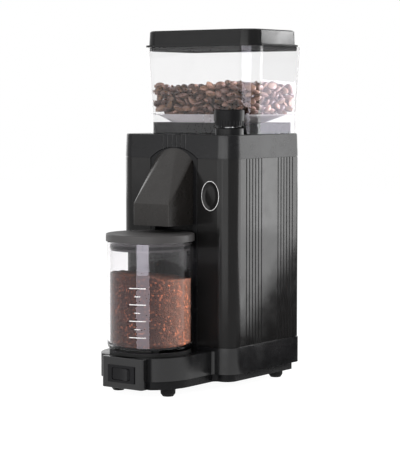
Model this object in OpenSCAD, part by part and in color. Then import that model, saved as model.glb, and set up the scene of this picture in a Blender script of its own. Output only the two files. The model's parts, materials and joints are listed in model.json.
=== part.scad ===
// Burr coffee grinder with a lift-off bean hopper, a conical burr set and a glass jar for the grounds.
// Millimetres. +Z is up and -Y is the front; X = 0 is the middle of the housing. Lengths along Y are
// given from the housing's front face, and every node is shifted so the whole stands centred.

/* [Housing] */
// Width of the housing
body_w = 134; // [128:1:140]
// Depth of the housing, front face to rear face
body_d = 117.4; // [114:0.2:124]
// Height of the housing between base and cap
housing_h = 178; // [170:1:190]
// Radius of the two front corners
front_r = 16; // [12:0.5:18]
// Radius of the two rear corners
rear_r = 6; // [4:0.5:10]
// Wall of the housing and the cap
wall = 2.5; // [2:0.1:3]
// Radius of a flute on the housing's sides
flute_r = 0.75; // [0.4:0.05:1.2]
// Distance between two flutes
flute_pitch = 5; // [4:0.25:5.5]
// Flutes in each band
flute_count = 6; // [3:1:6]
// First flute of the front band, from the front face
flute_front = 25.5; // [24:0.5:32]
// First flute of the rear band, from the front face
flute_rear = 78.7; // [70:0.1:81]

// Height of the shadow gaps under the housing and under the cap
reveal_h = 0.7; // [0.4:0.1:1]
// Depth of the shadow gaps
reveal_d = 1; // [0.6:0.1:1.2]

/* [Base] */
// Height of the rubber feet
foot_h = 8.2; // [6:0.2:12]
// Radius of a foot at its top
foot_r = 7.2; // [6:0.2:8]
// Radius of a foot at the floor
foot_tip_r = 5; // [4.5:0.5:6]
// Height of the inset base plate
plate_h = 7.8; // [5:0.2:9]
// Setback of the plate's edge below the platform
plate_inset = 2; // [1:0.5:3]
// Further setback of the plate's edge below the housing
plate_side = 4; // [2:0.5:5]
// Floor of the base plate
plate_t = 2.5; // [2:0.25:3.5]
// How far the base stands proud of the housing
base_proud = 0.8; // [0:0.1:1.2]
// Height of the tub above the base plate
tub_h = 25; // [24:0.5:28]
// Side wall of the cast tub
tub_wall = 7; // [5.5:0.25:8]
// Top deck of the cast tub
deck_t = 3; // [2.5:0.25:4]
// Step from the housing's seat down to the jar's platform
deck_drop = 3.5; // [2:0.5:5]
// Width of the jar's platform
platform_w = 93.2; // [90:0.2:94]
// Fillet between the platform's side and the housing's front
platform_fillet = 3; // [1:0.25:3.5]

/* [Jar] */
// Distance of the jar's axis in front of the housing
jar_reach = 36.5; // [36:0.5:38]
// Outer radius of the glass jar
jar_r = 40.6; // [38:0.2:41]
// Height of the glass jar
jar_h = 101.8; // [90:0.2:103]
// Glass wall
glass_t = 2.4; // [2:0.1:3.5]
// Radius of the jar's bottom edge
jar_edge_r = 5; // [3:0.5:7]
// Height of the pad that the jar stands on
pad_h = 3.1; // [1.5:0.1:4]
// Radius of the pad
pad_r = 38.5; // [34:0.5:39]
// Overhang of the jar's lid past the glass
jar_lid_over = 1.1; // [0.5:0.1:1.5]
// Height of the jar's lid above the glass
jar_lid_h = 7.1; // [5:0.1:7.5]
// Depth of the lid's plug inside the glass
jar_plug_h = 8.5; // [6:0.5:12]

/* [Switch] */
// Width of the flat switch panel
panel_w = 47.8; // [40:0.2:50]
// Height of the switch panel above the feet
panel_h = 28.8; // [26:0.2:31]
// Distance of the panel's face in front of the jar's axis
panel_reach = 43.5; // [42:0.25:44]
// Thickness of the switch panel
panel_t = 8; // [6:0.5:10]
// Radius of the panel's upright edges
panel_edge_r = 3; // [1:0.25:4]
// Width of the switch bezel
bezel_w = 31; // [29:0.5:34]
// Height of the switch bezel
bezel_h = 16; // [15:0.5:18]
// How far the bezel stands proud of the panel
bezel_proud = 1; // [0.5:0.1:2]
// Half length of the rocker
rocker_half = 10; // [8:0.25:10.5]
// Height of the rocker
rocker_h = 11; // [9:0.25:11.5]
// Tilt of the rocker to each side of its middle
rocker_tilt = 8; // [5:0.5:10]
// Distance from the rocker's pivot to the valley of its face
rocker_arm = 4.4; // [3.5:0.1:5]

/* [Front arch] */
// Width of the arched frame around the chute
frame_w = 55.4; // [52:0.2:56]
// Width of the frame's lip
lip_w = 5; // [4:0.25:6]
// Rise of the arch above the housing's top edge
arch_rise = 10.5; // [9:0.25:11]
// Depth of the recess behind the frame
recess_d = 14; // [12:0.5:15]
// Wall of the recess
recess_wall = 2; // [1.5:0.25:2.5]

/* [Chute] */
// Width of the chute
chute_w = 42.6; // [40:0.2:43]
// Distance of the chute's mouth face in front of the housing
chute_reach = 35.1; // [30:0.1:38]
// Height of the upright collar at the mouth
mouth_h = 20.5; // [16:0.5:24]
// Gap between the jar's lid and the mouth
mouth_gap = 6.8; // [6.5:0.1:9]
// Height of the chute's shoulder below the frame's spring line
shoulder_drop = 2; // [0.5:0.25:4]
// Wall of the chute
chute_wall = 2; // [1.5:0.1:2.5]
// Width of the outlet from the burr chamber
outlet_w = 26; // [20:1:30]
// Height of the outlet from the burr chamber
outlet_h = 16; // [12:1:18]

/* [Cap] */
// Height of the cap
cap_h = 22.8; // [20:0.2:26]
// How far the cap's lower edge stands proud of the housing
cap_proud = 0.1; // [0:0.1:1]
// How far the cap's sides lean in by its top
cap_lean = 0.9; // [0.4:0.1:2]
// Height of the chamfer around the cap's top
cap_edge_h = 0.8; // [0.4:0.1:1.2]
// Top thickness of the cap
cap_top_t = 3; // [2:0.25:3]
// Distance between two flutes over the arch
cap_flute_pitch = 5.4; // [4:0.2:6]
// Flutes over the arch
cap_flute_count = 6; // [2:1:7]

/* [Hopper] */
// Gap in plan between the housing's side and the hopper's skirt
hopper_side = 2.5; // [1:0.1:4]
// Distance of the hopper's front from the housing's front
hopper_front = 37.5; // [36:0.5:40]
// Distance of the hopper's rear from the housing's rear
hopper_rear = 1.2; // [1:0.1:6]
// Radius of the hopper's front corners
hopper_r = 15; // [12:0.5:18]
// Radius of the hopper's rear corners
hopper_rear_r = 6; // [5:0.5:15]
// Radius of the rear corners of the lid and of the seat
lid_rear_r = 11; // [8:0.5:15]
// Wall of the clear hopper
hopper_wall = 1.8; // [1.6:0.1:3]
// Height of the hopper's skirt, up to its floor
skirt_h = 20.4; // [19:0.2:26]
// Height of the hopper above its floor
bin_h = 63.4; // [50:0.2:90]
// Flare of the hopper's walls up to its rim
bin_flare = 3.5; // [1:0.25:5]
// Floor thickness of the hopper
floor_t = 2; // [1.5:0.1:3]
// Width of the floor's ledge around the funnel
ledge = 5; // [3:0.5:8]
// Height of the hopper's seat on the cap
seat_h = 10.7; // [9:0.1:13]
// Gap between the seat and the hopper's skirt
seat_gap = 0.5; // [0.4:0.1:2]
// Radius of the funnel's throat tube
throat_r = 17; // [14:0.5:17.5]
// Length of the throat tube below the funnel
throat_h = 14; // [8:0.5:15]

/* [Hopper lid] */
// Height of the lid above its flange
lid_h = 14; // [9:0.2:18]
// Thickness of the lid's flange
lid_flange_t = 1.8; // [1.2:0.1:3]
// Overhang of the flange past the lid's sides
lid_over = 2.6; // [1.5:0.1:5]
// Depth of the lid's plug inside the hopper
lid_plug_h = 4; // [3:0.5:10]
// Wall of the lid
lid_wall = 2; // [1.5:0.1:3]

/* [Grind setting] */
// Radius of the knob
knob_r = 14.5; // [11:0.25:14.75]
// Height of the knob's smooth cap
knob_cap_h = 10.8; // [8:0.2:14]
// Height of the knob's ribbed skirt
knob_skirt_h = 4.5; // [3:0.25:6]
// Ribs around the knob's skirt
knob_ribs = 30; // [12:1:36]
// Height of the fixed collar under the knob
collar_h = 6.5; // [4:0.25:8]
// Radius of the knob's spindle
spindle_r = 4; // [3:0.25:4.5]
// Tooth module of the setting gears
setting_module = 1.5; // [1.4:0.05:1.5]
// Teeth on the knob's pinion
setting_pinion = 12; // [10:1:14]
// Teeth on a full circle of the setting ring
setting_ring = 79; // [78:1:80]
// Bearing of the knob from the burr axis, in degrees from +X
knob_bearing = -41.2; // [-45:0.2:-38]
// Turn of the knob each way
knob_swing = 120; // [60:5:120]
// Thickness of the setting ring's toothed arm
ring_t = 4.5; // [3:0.25:4.5]

/* [Burrs] */
// Distance of the burr axis from the housing's front face
burr_y = 64; // [63.5:0.25:66]
// Radius of the conical burr at its foot
cone_r = 19; // [17:0.25:19.5]
// Height of the conical burr
cone_h = 24; // [20:0.5:26]
// Height of the fine grinding band
fine_h = 5; // [4:0.25:7]
// Gap between the burrs, level with each other
burr_gap = 1.3; // [1.1:0.05:2]
// Outer radius of the ring burr
ring_burr_r = 25; // [24:0.25:26]
// Height of the ring burr
ring_burr_h = 14; // [12:0.5:16]
// Coarse teeth on the conical burr
coarse_teeth = 6; // [4:1:8]
// Fine teeth on each burr
fine_teeth = 36; // [20:1:40]
// Inner radius of the burr chamber
chamber_r = 30; // [28.5:0.25:32]
// Wall of the burr chamber
chamber_wall = 3; // [2:0.25:4]
// Height of the burr chamber under its cover
chamber_h = 26; // [24:0.5:28]
// Thickness of the burr chamber's cover
cover_t = 5; // [4:0.25:6]

/* [Drive] */
// Radius of the burr shaft
shaft_r = 5; // [4:0.25:6]
// Tooth module of the drive gears
drive_module = 1.25; // [1:0.05:1.3]
// Teeth on the motor's pinion
motor_teeth = 12; // [11:1:13]
// Teeth on the layshaft's wheel
wheel_teeth = 36; // [35:1:37]
// Teeth on the layshaft's pinion
lay_teeth = 16; // [15:1:17]
// Face width of the first gear pair
first_face = 7; // [5:0.5:9]
// Face width of the second gear pair
second_face = 8; // [6:0.5:10]
// Radius of the layshaft and of the motor's shaft
lay_r = 3; // [2.5:0.25:3.5]
// Thickness of the gearbox plates
gear_plate_t = 3; // [2:0.25:4]
// Radius of a gearbox pillar
pillar_r = 4; // [3:0.25:5]
// Radius of the motor's can
motor_r = 31; // [26:0.5:33]
// Length of the motor's can
motor_h = 74; // [60:1:78]

/* [Rear] */
// Width of the rear cover
rear_cover_w = 96; // [80:1:100]
// Height of the rear cover
rear_cover_h = 128; // [100:2:140]
// Height of the rear cover's lower edge above the housing's
rear_cover_up = 26; // [15:1:35]
// Slots in each bank of vents
vent_count = 7; // [4:1:9]
// Height of a vent slot
vent_h = 2.6; // [2:0.2:4]
// Bore of the cord gland
gland_bore_r = 3.6; // [3:0.1:4.5]
// How far the gland stands proud of the tub
gland_proud = 4; // [3:0.5:8]
// Distance of the gland from the housing's left side
gland_side = 32; // [28:1:46]

/* [Fits] */
// Shadow gap round the arch frame
arch_gap = 0.5; // [0.3:0.1:0.8]
// Gap between fixed pieces that meet at a joint line
seam = 0.3; // [0.2:0.05:0.5]
// Running clearance on a radius
run_fit = 0.06; // [0.02:0.01:0.1]
// Clearance around a piece that lifts or slides out
lift_fit = 0.3; // [0.3:0.05:0.6]

/* [Hidden] */
$fn = 64;
COARSE = 32;
eps = 0.01;
cut = 1;

// Levels from the floor up
plate_z = foot_h;
tub_z = plate_z + plate_h;
seat_z = tub_z + tub_h;
deck_z = seat_z - deck_drop;
cap_z = seat_z + housing_h;
cap_top_z = cap_z + cap_h;
cap_under_z = cap_top_z - cap_top_t;
hopper_z = cap_top_z + lift_fit;
floor_z = hopper_z + skirt_h;
rim_z = floor_z + bin_h;
lid_z = rim_z + lift_fit;
jar_z = deck_z + pad_h + lift_fit;
jar_rim_z = jar_z + jar_h;
jar_lid_z = jar_rim_z + lift_fit;
jar_lid_top_z = jar_lid_z + jar_lid_h - lift_fit;
mouth_z = jar_lid_top_z + mouth_gap;
spring_z = cap_z;

// Plan of the base
half_w = body_w / 2;
nose_r = platform_w / 2;
jar_y = -jar_reach;
panel_y = jar_y - panel_reach;
panel_back_y = panel_y + panel_t;
foot_spread = 29.5;
foot_lead = 11.3;
foot_side = 20;
foot_back = 12.6;
foot_front = [foot_spread, jar_y - foot_lead];
foot_rear = [half_w - foot_side, body_d - foot_back];
FEET = [for (side = [-1, 1], at = [foot_front, foot_rear]) [side * at.x, at.y]];
foot_screw_r = 1.6;
foot_head_r = 2.9;
foot_head_h = 2;
foot_tip_h = 2.6;
foot_recess_h = 3.5;
foot_thread_h = 13;
boss_r = 5;
lead_hole = [24, 54];
lead_hole_r = 7;

// Switch
switch_up = 13.5;
switch_z = plate_z + switch_up;
bezel_rim = 2;
switch_body_w = bezel_w - 2 * bezel_rim;
switch_body_h = bezel_h - bezel_rim;
terminal_w = 4;
terminal_t = 0.8;
terminal_l = 6;
terminal_pitch = 8;
bezel_y = panel_y - bezel_proud;
pivot_y = panel_y + rocker_arm - 0.4;
rocker_rise = rocker_half * tan(rocker_tilt);
rocker_tip_y = pivot_y - rocker_half * sin(rocker_tilt)
    - (rocker_arm + rocker_rise) * cos(rocker_tilt);
switch_depth = 17;

// Arch
arch_half = frame_w / 2;
arch_r = (pow(arch_half, 2) + pow(arch_rise, 2)) / (2 * arch_rise);
arch_z = spring_z + arch_rise - arch_r;
lip_t = wall;

// Hopper plan at its skirt
hopper_half = half_w - hopper_side;
hopper_y1 = body_d - hopper_rear;
funnel_low_z = floor_z - skirt_h - 1;
throat_wall = 2;

// Burr stage
teeth_gap = 0.25;
burr_slope = 2.5;
ADDENDUM = 0.85;
DEDENDUM = 1.2;
chamber_z = cap_z - 35;
cone_z = chamber_z + 6;
cover_z = chamber_z + chamber_h;
ring_hub_z = cover_z + cover_t + lift_fit;
ring_arm_z = cap_under_z - 1.5 - ring_t;
carrier_bore_r = 20.5;
carrier_z = cone_z + ring_burr_h;
carrier_top_z = ring_arm_z + ring_t - 5;
ring_hub_wall = 3.5;
setting_reach = setting_module * (setting_pinion + setting_ring) / 2;
setting_tip_r = setting_module * (setting_pinion / 2 + ADDENDUM);
knob_side = setting_tip_r + wall + cap_lean - cap_proud + lift_fit;
knob_x = min(setting_reach * cos(knob_bearing), half_w - knob_side);
knob_angle = -acos(knob_x / setting_reach);
knob_y = burr_y + setting_reach * sin(knob_angle);
knob_z = cap_top_z + collar_h + 2;
setting_ratio = setting_pinion / setting_ring;

// Drive
drive_reach = drive_module * (motor_teeth + wheel_teeth) / 2;
output_teeth = 2 * drive_reach / drive_module - lay_teeth;
motor_z = seat_z + 11;
lower_plate_z = motor_z + motor_h + 4;
first_z = lower_plate_z + gear_plate_t + 2.5;
second_z = first_z + first_face + 3;
upper_plate_z = second_z + second_face + 6;
box_half = half_w - 14;
box_front = 24;
box_rear = body_d - 11;
box_r = 6;
PILLARS = [for (x = [-1, 1], y = [box_front + box_r, box_rear - box_r])
    [x * (box_half - pillar_r), y]];
shaft_z = second_z;
can_wall = 2;
magnet_t = 6;
core_h = motor_h - 40;
core_z = motor_z + 20;
core_r = motor_r - can_wall - magnet_t - 1;
winding_h = 6;
winding_r = core_r - 3;
magnet_h = core_h + winding_h;
commutator_h = 11;
commutator_r = 9;
motor_boss_r = 9.8;
motor_boss_h = lower_plate_z - motor_z - motor_h;
end_cap_t = 4;
end_boss_r = 8;
end_boss_h = 5;

// Control board
board_x = half_w - 36;
board_y = 28;
board_w = 24;
board_l = body_d - board_y - foot_back - boss_r - 7;
board_t = 1.6;
board_z = tub_z + 6;
board_top_z = board_z + board_t;
board_post_r = 3;
board_part_h = 9;
BOARD_POSTS = [for (y = [5, board_l - 5]) [board_x + board_w / 2, board_y + y]];

// Rear
gland_x = half_w - gland_side;
gland_z = tub_z + 9.5;
gland_nut_t = 3.5;
gland_wall = 2;
gland_flange_r = 8;
gland_flange_t = 2;

// Ends of the whole along Y, which place it over the origin
base_rear = body_d + base_proud;
rear_end = base_rear + gland_proud;
front_end = min(rocker_tip_y, bezel_y);
y_shift = -(front_end + rear_end) / 2;

// Shared shapes

// Moves a node from housing coordinates to the centred frame.
module placed() {
    translate([0, y_shift, 0]) children();
}

// Rectangle in plan with its own front and rear corner radii.
module plan_rect(half, front, rear, r_front, r_rear) {
    translate([-half, front + r_front]) square([2 * half, rear - front - r_front - r_rear]);
    translate([-half + r_front, front]) square([2 * (half - r_front), r_front + eps]);
    translate([-half + r_rear, rear - r_rear - eps]) square([2 * (half - r_rear), r_rear + eps]);
    for (side = [-1, 1]) {
        translate([side * (half - r_front), front + r_front]) circle(r_front);
        translate([side * (half - r_rear), rear - r_rear]) circle(r_rear);
    }
}

// Housing outline, moved in by inset.
module housing_plan(inset = 0) {
    plan_rect(half_w - inset, inset, body_d - inset, front_r - inset, max(rear_r - inset, 1));
}

// Base outline, moved in by inset: the housing's footprint with a round-nosed platform in front,
// cut flat where the switch panel stands; the housing's part is moved in by side as well.
module base_plan(inset = 0, side = 0) {
    front_y = side - base_proud;
    fillet_x = nose_r + platform_fillet;
    housing_plan(inset + side - base_proud);
    difference() {
        union() {
            translate([0, jar_y]) circle(nose_r - inset);
            translate([-nose_r + inset, jar_y]) square([2 * (nose_r - inset), jar_reach + front_r]);
        }
        translate([-nose_r, panel_back_y + seam - nose_r]) square([2 * nose_r, nose_r]);
    }
    for (side = [-1, 1]) mirror([side < 0 ? 1 : 0, 0]) difference() {
        translate([nose_r - inset - eps, front_y - platform_fillet])
            square([platform_fillet + inset + eps, platform_fillet + inset + eps]);
        translate([fillet_x, front_y - platform_fillet]) circle(platform_fillet + inset);
    }
}

// Hopper outline at its skirt, moved in by inset; grow widens it all round for the flare.
module hopper_plan(inset = 0, grow = 0, rear_r = hopper_rear_r) {
    off = inset - grow;
    rounding = grow / 2 - inset;
    plan_rect(hopper_half - off, hopper_front + off, hopper_y1 - off,
        max(hopper_r + rounding, 2), max(rear_r + rounding, 2));
}

// Tapered body between two hopper outlines.
module hopper_loft(z0, z1, inset, grow0, grow1, rear_r = hopper_rear_r) {
    hull() {
        translate([0, 0, z0]) linear_extrude(eps) hopper_plan(inset, grow0, rear_r, $fn = COARSE);
        translate([0, 0, z1 - eps]) linear_extrude(eps)
            hopper_plan(inset, grow1, rear_r, $fn = COARSE);
    }
}

// Funnel body between the floor and the throat, thickened by extra.
module funnel_body(extra = 0) {
    hull() {
        translate([0, 0, floor_z - floor_t]) linear_extrude(eps)
            hopper_plan(hopper_wall + ledge - extra, 0, $fn = COARSE);
        translate([0, burr_y, funnel_low_z]) cylinder(h = eps, r = throat_r + extra, $fn = COARSE);
    }
}

// Round-topped arch in the XZ plane, moved in by inset, from a level up to its crown.
module arch_profile(inset, from_z) {
    intersection() {
        translate([-arch_half + inset, from_z])
            square([2 * (arch_half - inset), spring_z + arch_rise - from_z]);
        union() {
            translate([0, arch_z]) circle(arch_r - inset, $fn = 96);
            translate([-arch_half, from_z]) square([frame_w, arch_z - from_z + 20]);
        }
    }
}

// The same arch as a solid between two depths.
module arch_solid(inset, y0, y1, from_z) {
    translate([0, y1, 0]) rotate([90, 0, 0]) linear_extrude(y1 - y0) arch_profile(inset, from_z);
}

// Angle by which an involute tooth's flank has turned at radius r from base radius rb, in degrees.
function involute(rb, r) =
    let (ratio = max(r / rb, 1), angle = acos(1 / ratio)) tan(angle) * 180 / PI - angle;

// Half of a tooth's angle at radius r.
function tooth_half(module_mm, teeth, r) =
    let (pitch_r = module_mm * teeth / 2, rb = pitch_r * cos(20))
    90 / teeth - teeth_gap / 2 / pitch_r * 90 / PI + involute(rb, pitch_r) - involute(rb, r);

// Outline of one gear tooth with its root land, pointing along +X.
function tooth_points(module_mm, teeth, at) =
    let (
        pitch_r = module_mm * teeth / 2,
        root_r = pitch_r - DEDENDUM * module_mm,
        tip_r = pitch_r + ADDENDUM * module_mm,
        radii = [root_r, pitch_r - 0.5 * module_mm, pitch_r, pitch_r + 0.45 * module_mm, tip_r]
    )
    concat(
        [for (k = [0:4]) let (a = at - tooth_half(module_mm, teeth, radii[k]))
            radii[k] * [cos(a), sin(a)]],
        [for (k = [4:-1:0]) let (a = at + tooth_half(module_mm, teeth, radii[k]))
            radii[k] * [cos(a), sin(a)]]
    );

// Spur gear outline with a tooth pointing at angle first.
module gear_plan(module_mm, teeth, first = 0) {
    polygon([for (k = [0:teeth - 1], p = tooth_points(module_mm, teeth, first + k * 360 / teeth)) p]);
}

// Screw with a domed head, pointing down, its seat at z = 0.
module screw(shank_r, length, head_r, head_h) {
    translate([0, 0, -length]) cylinder(h = length + eps, r = shank_r);
    difference() {
        cylinder(h = head_h, r1 = head_r, r2 = head_r * 0.75);
        translate([0, 0, head_h * 0.4]) cylinder(h = head_h, r = head_r * 0.4, $fn = 6);
    }
}

// Base

module base_tub() {
    color("#2b2b2d") placed() difference() {
        union() {
            translate([0, 0, tub_z]) linear_extrude(deck_z - tub_z) base_plan();
            translate([0, 0, deck_z - eps]) linear_extrude(deck_drop + eps) difference() {
                housing_plan(-base_proud);
                frame_plan(seam);
            }
        }
        difference() {
            translate([0, 0, tub_z - eps]) linear_extrude(deck_z - deck_t - tub_z + eps)
                base_plan(tub_wall);
            for (at = FEET) translate([at.x, at.y, tub_z - cut]) cylinder(h = tub_h, r = boss_r);
        }
        for (at = FEET) translate([at.x, at.y, tub_z - cut])
            cylinder(h = foot_thread_h + cut, r = foot_screw_r + run_fit);
        translate([-switch_body_w / 2, panel_y, switch_z - switch_body_h / 2])
            cube([switch_body_w, panel_t + 3 * tub_wall, switch_body_h]);
        translate([-gland_x, base_rear + cut, gland_z]) rotate([90, 0, 0])
            cylinder(h = tub_wall + 2 * cut, r = gland_bore_r + gland_wall + seam / 2);
        translate([lead_hole.x, lead_hole.y, deck_z - deck_t - cut])
            cylinder(h = tub_h, r = lead_hole_r);
    }
}

module base_plate() {
    color("#232324") placed() difference() {
        translate([0, 0, plate_z]) linear_extrude(plate_h)
            base_plan(plate_inset, plate_side);
        difference() {
            translate([0, 0, plate_z + plate_t]) linear_extrude(plate_h)
                base_plan(plate_inset + plate_t, plate_side);
            for (at = FEET) translate([at.x, at.y, plate_z]) cylinder(h = plate_h, r = boss_r);
        }
        for (at = FEET) translate([at.x, at.y, plate_z - cut])
            cylinder(h = plate_h + 2 * cut, r = foot_screw_r + run_fit);
        for (k = [-4:4]) translate([-22, 62 + k * 7, plate_z - cut])
            cube([44, 2.4, plate_t + 2 * cut]);
    }
}

module rubber_feet() {
    color("#1a1a1a") placed() for (at = FEET) translate([at.x, at.y, 0]) difference() {
        union() {
            cylinder(h = foot_tip_h, r1 = foot_tip_r, r2 = foot_r - 0.3);
            translate([0, 0, foot_tip_h - eps])
                cylinder(h = foot_h - foot_tip_h + eps, r1 = foot_r - 0.3, r2 = foot_r);
        }
        translate([0, 0, -cut]) cylinder(h = foot_h + 2 * cut, r = foot_screw_r + run_fit);
        translate([0, 0, -cut]) cylinder(h = foot_recess_h + cut, r = foot_head_r + seam);
    }
}

module foot_screws() {
    color("#8c8c8c") placed() for (at = FEET) translate([at.x, at.y, foot_recess_h])
        rotate([180, 0, 0]) screw(foot_screw_r, tub_z + 4, foot_head_r, foot_head_h);
}

module jar_pad() {
    ridges = 4;
    color("#141414") placed() translate([0, jar_y, deck_z]) difference() {
        cylinder(h = pad_h, r = pad_r);
        for (k = [1:ridges]) translate([0, 0, pad_h - 0.6]) difference() {
            cylinder(h = cut, r = pad_r * k / (ridges + 1) + 1);
            translate([0, 0, -cut]) cylinder(h = 3 * cut, r = pad_r * k / (ridges + 1) - 1);
        }
    }
}

// Switch

module switch_panel() {
    color("#2b2b2d") placed() difference() {
        translate([0, 0, plate_z]) linear_extrude(panel_h)
            plan_rect(panel_w / 2, panel_y, panel_back_y, panel_edge_r, 0.5);
        translate([-switch_body_w / 2 - seam, panel_y - cut, switch_z - switch_body_h / 2 - seam])
            cube([switch_body_w + 2 * seam, panel_t + 2 * cut, switch_body_h + 2 * seam]);
    }
}

// Bezel and body of the switch; the rocker's pocket is open to the front.
module switch_body() {
    color("#1d1d1e") placed() difference() {
        union() {
            translate([-bezel_w / 2, bezel_y, switch_z - bezel_h / 2])
                cube([bezel_w, bezel_proud, bezel_h]);
            translate([-switch_body_w / 2, panel_y - eps, switch_z - switch_body_h / 2])
                cube([switch_body_w, switch_depth, switch_body_h]);
            for (k = [-1:1]) translate([
                k * terminal_pitch - terminal_w / 2, panel_y + switch_depth - eps,
                switch_z - terminal_t / 2
            ]) cube([terminal_w, terminal_l, terminal_t]);
        }
        translate([0, pivot_y, switch_z]) rocker_puck(lift_fit);
        translate([0, pivot_y, switch_z - rocker_h / 2 - 1])
            cylinder(h = rocker_h + 2, r = 1 + run_fit);
    }
}

// Distance from the pivot to the rocker's farthest corner.
function rocker_reach() = norm([rocker_half, rocker_arm + rocker_rise]);

// Round-edged disc on the pivot's axis that the rocker is cut from, and its pocket when grown.
module rocker_puck(grow = 0) {
    reach = rocker_reach() + grow;
    half_h = rocker_h / 2 + grow;
    edge_r = 2;
    rotate_extrude() hull() {
        translate([0, -half_h]) square([eps, 2 * half_h]);
        for (side = [-1, 1]) translate([reach - edge_r, side * (half_h - edge_r)]) circle(edge_r);
    }
}

module switch_rocker() {
    far = 2 * rocker_half;
    color("#18181a") placed() translate([0, pivot_y, switch_z]) rotate(-rocker_tilt) {
        intersection() {
            rocker_puck();
            translate([0, 0, -rocker_h / 2]) linear_extrude(rocker_h) polygon([
                [-far, -rocker_arm - 2 * rocker_rise], [0, -rocker_arm],
                [far, -rocker_arm - 2 * rocker_rise], [far, 0.5], [3, 4], [-3, 4], [-far, 0.5]
            ]);
        }
        translate([0, 0, -rocker_h / 2 - 0.8]) cylinder(h = rocker_h + 1.6, r = 1);
    }
}

// Housing

// Flutes on both sides of the housing, in plan.
module side_flutes() {
    for (side = [-1, 1], start = [flute_front, flute_rear], k = [0:flute_count - 1])
        translate([side * half_w, start + k * flute_pitch]) circle(flute_r, $fn = 16);
}

module housing_shell() {
    post_r = 4;
    post_in = 9;
    opening = arch_half + arch_gap;
    color("#262628") placed() difference() {
        translate([0, 0, seat_z]) linear_extrude(housing_h) difference() {
            union() {
                difference() {
                    housing_plan();
                    housing_plan(wall);
                }
                for (side = [-1, 1], y = [post_in + 0.6, body_d - post_in])
                    translate([side * (half_w - post_in), y]) circle(post_r);
            }
            side_flutes();
            translate([-opening, -cut]) square([2 * opening, wall + 2 * cut]);
            for (side = [-1, 1], y = [post_in + 0.6, body_d - post_in])
                translate([side * (half_w - post_in), y]) circle(1.5);
        }
        translate([-rear_cover_w / 2 + 4, body_d - wall - cut, seat_z + rear_cover_up + 4])
            cube([rear_cover_w - 8, wall + 2 * cut, rear_cover_h - 8]);
        translate([-rear_cover_w / 2 - seam, body_d - wall / 2, seat_z + rear_cover_up - seam])
            cube([rear_cover_w + 2 * seam, wall, rear_cover_h + 2 * seam]);
        for (at = rear_screws()) translate([at.x, body_d + cut, at.y]) rotate([90, 0, 0])
            cylinder(h = wall + 3 * cut, r = 1.2);
        translate([0, 0, seat_z - cut]) linear_extrude(cut + reveal_h) difference() {
            housing_plan(-cut);
            housing_plan(reveal_d);
        }
    }
}

// Centres of the rear cover's screws, as X and Z.
function rear_screws() = [
    for (x = [-1, 1], z = [0, 1])
        [x * (rear_cover_w / 2 - 2), seat_z + rear_cover_up + 2 + z * (rear_cover_h - 4)]
];

module rear_cover() {
    vent_w = (rear_cover_w - 20) / 2 - 4;
    color("#262628") placed() difference() {
        translate([-rear_cover_w / 2, body_d - wall / 2, seat_z + rear_cover_up])
            cube([rear_cover_w, wall / 2, rear_cover_h]);
        for (side = [-1, 1], bank = [0, 1], k = [0:vent_count - 1])
            translate([
                side * (vent_w / 2 + 4) - vent_w / 2, body_d - wall - cut,
                seat_z + rear_cover_up + 12 + k * 2.2 * vent_h + bank * (rear_cover_h / 2)
            ]) cube([vent_w, wall + 3 * cut, vent_h]);
        for (at = rear_screws()) translate([at.x, body_d + cut, at.y]) rotate([90, 0, 0])
            cylinder(h = wall + 2 * cut, r = 1.2);
    }
}

module rear_cover_screws() {
    color("#3a3a3c") placed() for (at = rear_screws())
        translate([at.x, body_d, at.y]) rotate([-90, 0, 0]) screw(1.1, wall + 0.5, 1.9, 1.2);
}

// Flanged bush through the tub's rear wall, open from end to end.
module cord_gland() {
    color("#1a1a1a") placed() translate([-gland_x, 0, gland_z]) difference() {
        union() {
            translate([0, rear_end, 0]) rotate([90, 0, 0])
                cylinder(h = gland_proud, r1 = gland_bore_r + 1.6, r2 = gland_bore_r + gland_wall);
            translate([0, base_rear + gland_flange_t, 0]) rotate([90, 0, 0])
                cylinder(h = gland_flange_t, r = gland_flange_r);
            translate([0, base_rear + eps, 0]) rotate([90, 0, 0])
                cylinder(h = tub_wall + gland_nut_t + 2 + eps, r = gland_bore_r + gland_wall);
        }
        translate([0, rear_end + cut, 0]) rotate([90, 0, 0])
            cylinder(h = gland_proud + tub_wall + 20, r = gland_bore_r);
    }
}

// Hexagonal nut that holds the gland inside the tub.
module gland_nut() {
    color("#1a1a1a") placed() translate([-gland_x, base_rear - tub_wall, gland_z]) rotate([90, 0, 0])
        difference() {
            cylinder(h = gland_nut_t, r = gland_flange_r, $fn = 6);
            translate([0, 0, -cut])
                cylinder(h = gland_nut_t + 2 * cut, r = gland_bore_r + gland_wall + run_fit);
        }
}

// Front arch and chute

// Plan of the frame: lip, flange behind the housing's wall, and recess, grown by grow.
module frame_plan(grow = 0) {
    recess_half = arch_half - lip_w + recess_wall + grow;
    translate([-arch_half - grow, -cut]) square([frame_w + 2 * grow, lip_t + cut + eps]);
    translate([-recess_half, 0]) square([2 * recess_half, recess_d + recess_wall + grow]);
}

module chute_frame() {
    recess_inset = lip_w - recess_wall;
    color("#303032") placed() difference() {
        union() {
            arch_solid(0, 0, lip_t, deck_z);
            arch_solid(recess_inset, lip_t - eps, recess_d + recess_wall, deck_z);
            for (side = [-1, 1], z = [seat_z + 8, seat_z + 90, cap_z - 12])
                translate([side * (arch_half - 1) - 4, lip_t, z]) cube([8, 2, 8]);
        }
        arch_solid(lip_w, -cut, recess_d, deck_z - cut);
        translate([-outlet_w / 2, recess_d - cut, chamber_z + 4])
            cube([outlet_w, recess_wall + 2 * cut, outlet_h]);
    }
}

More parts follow.
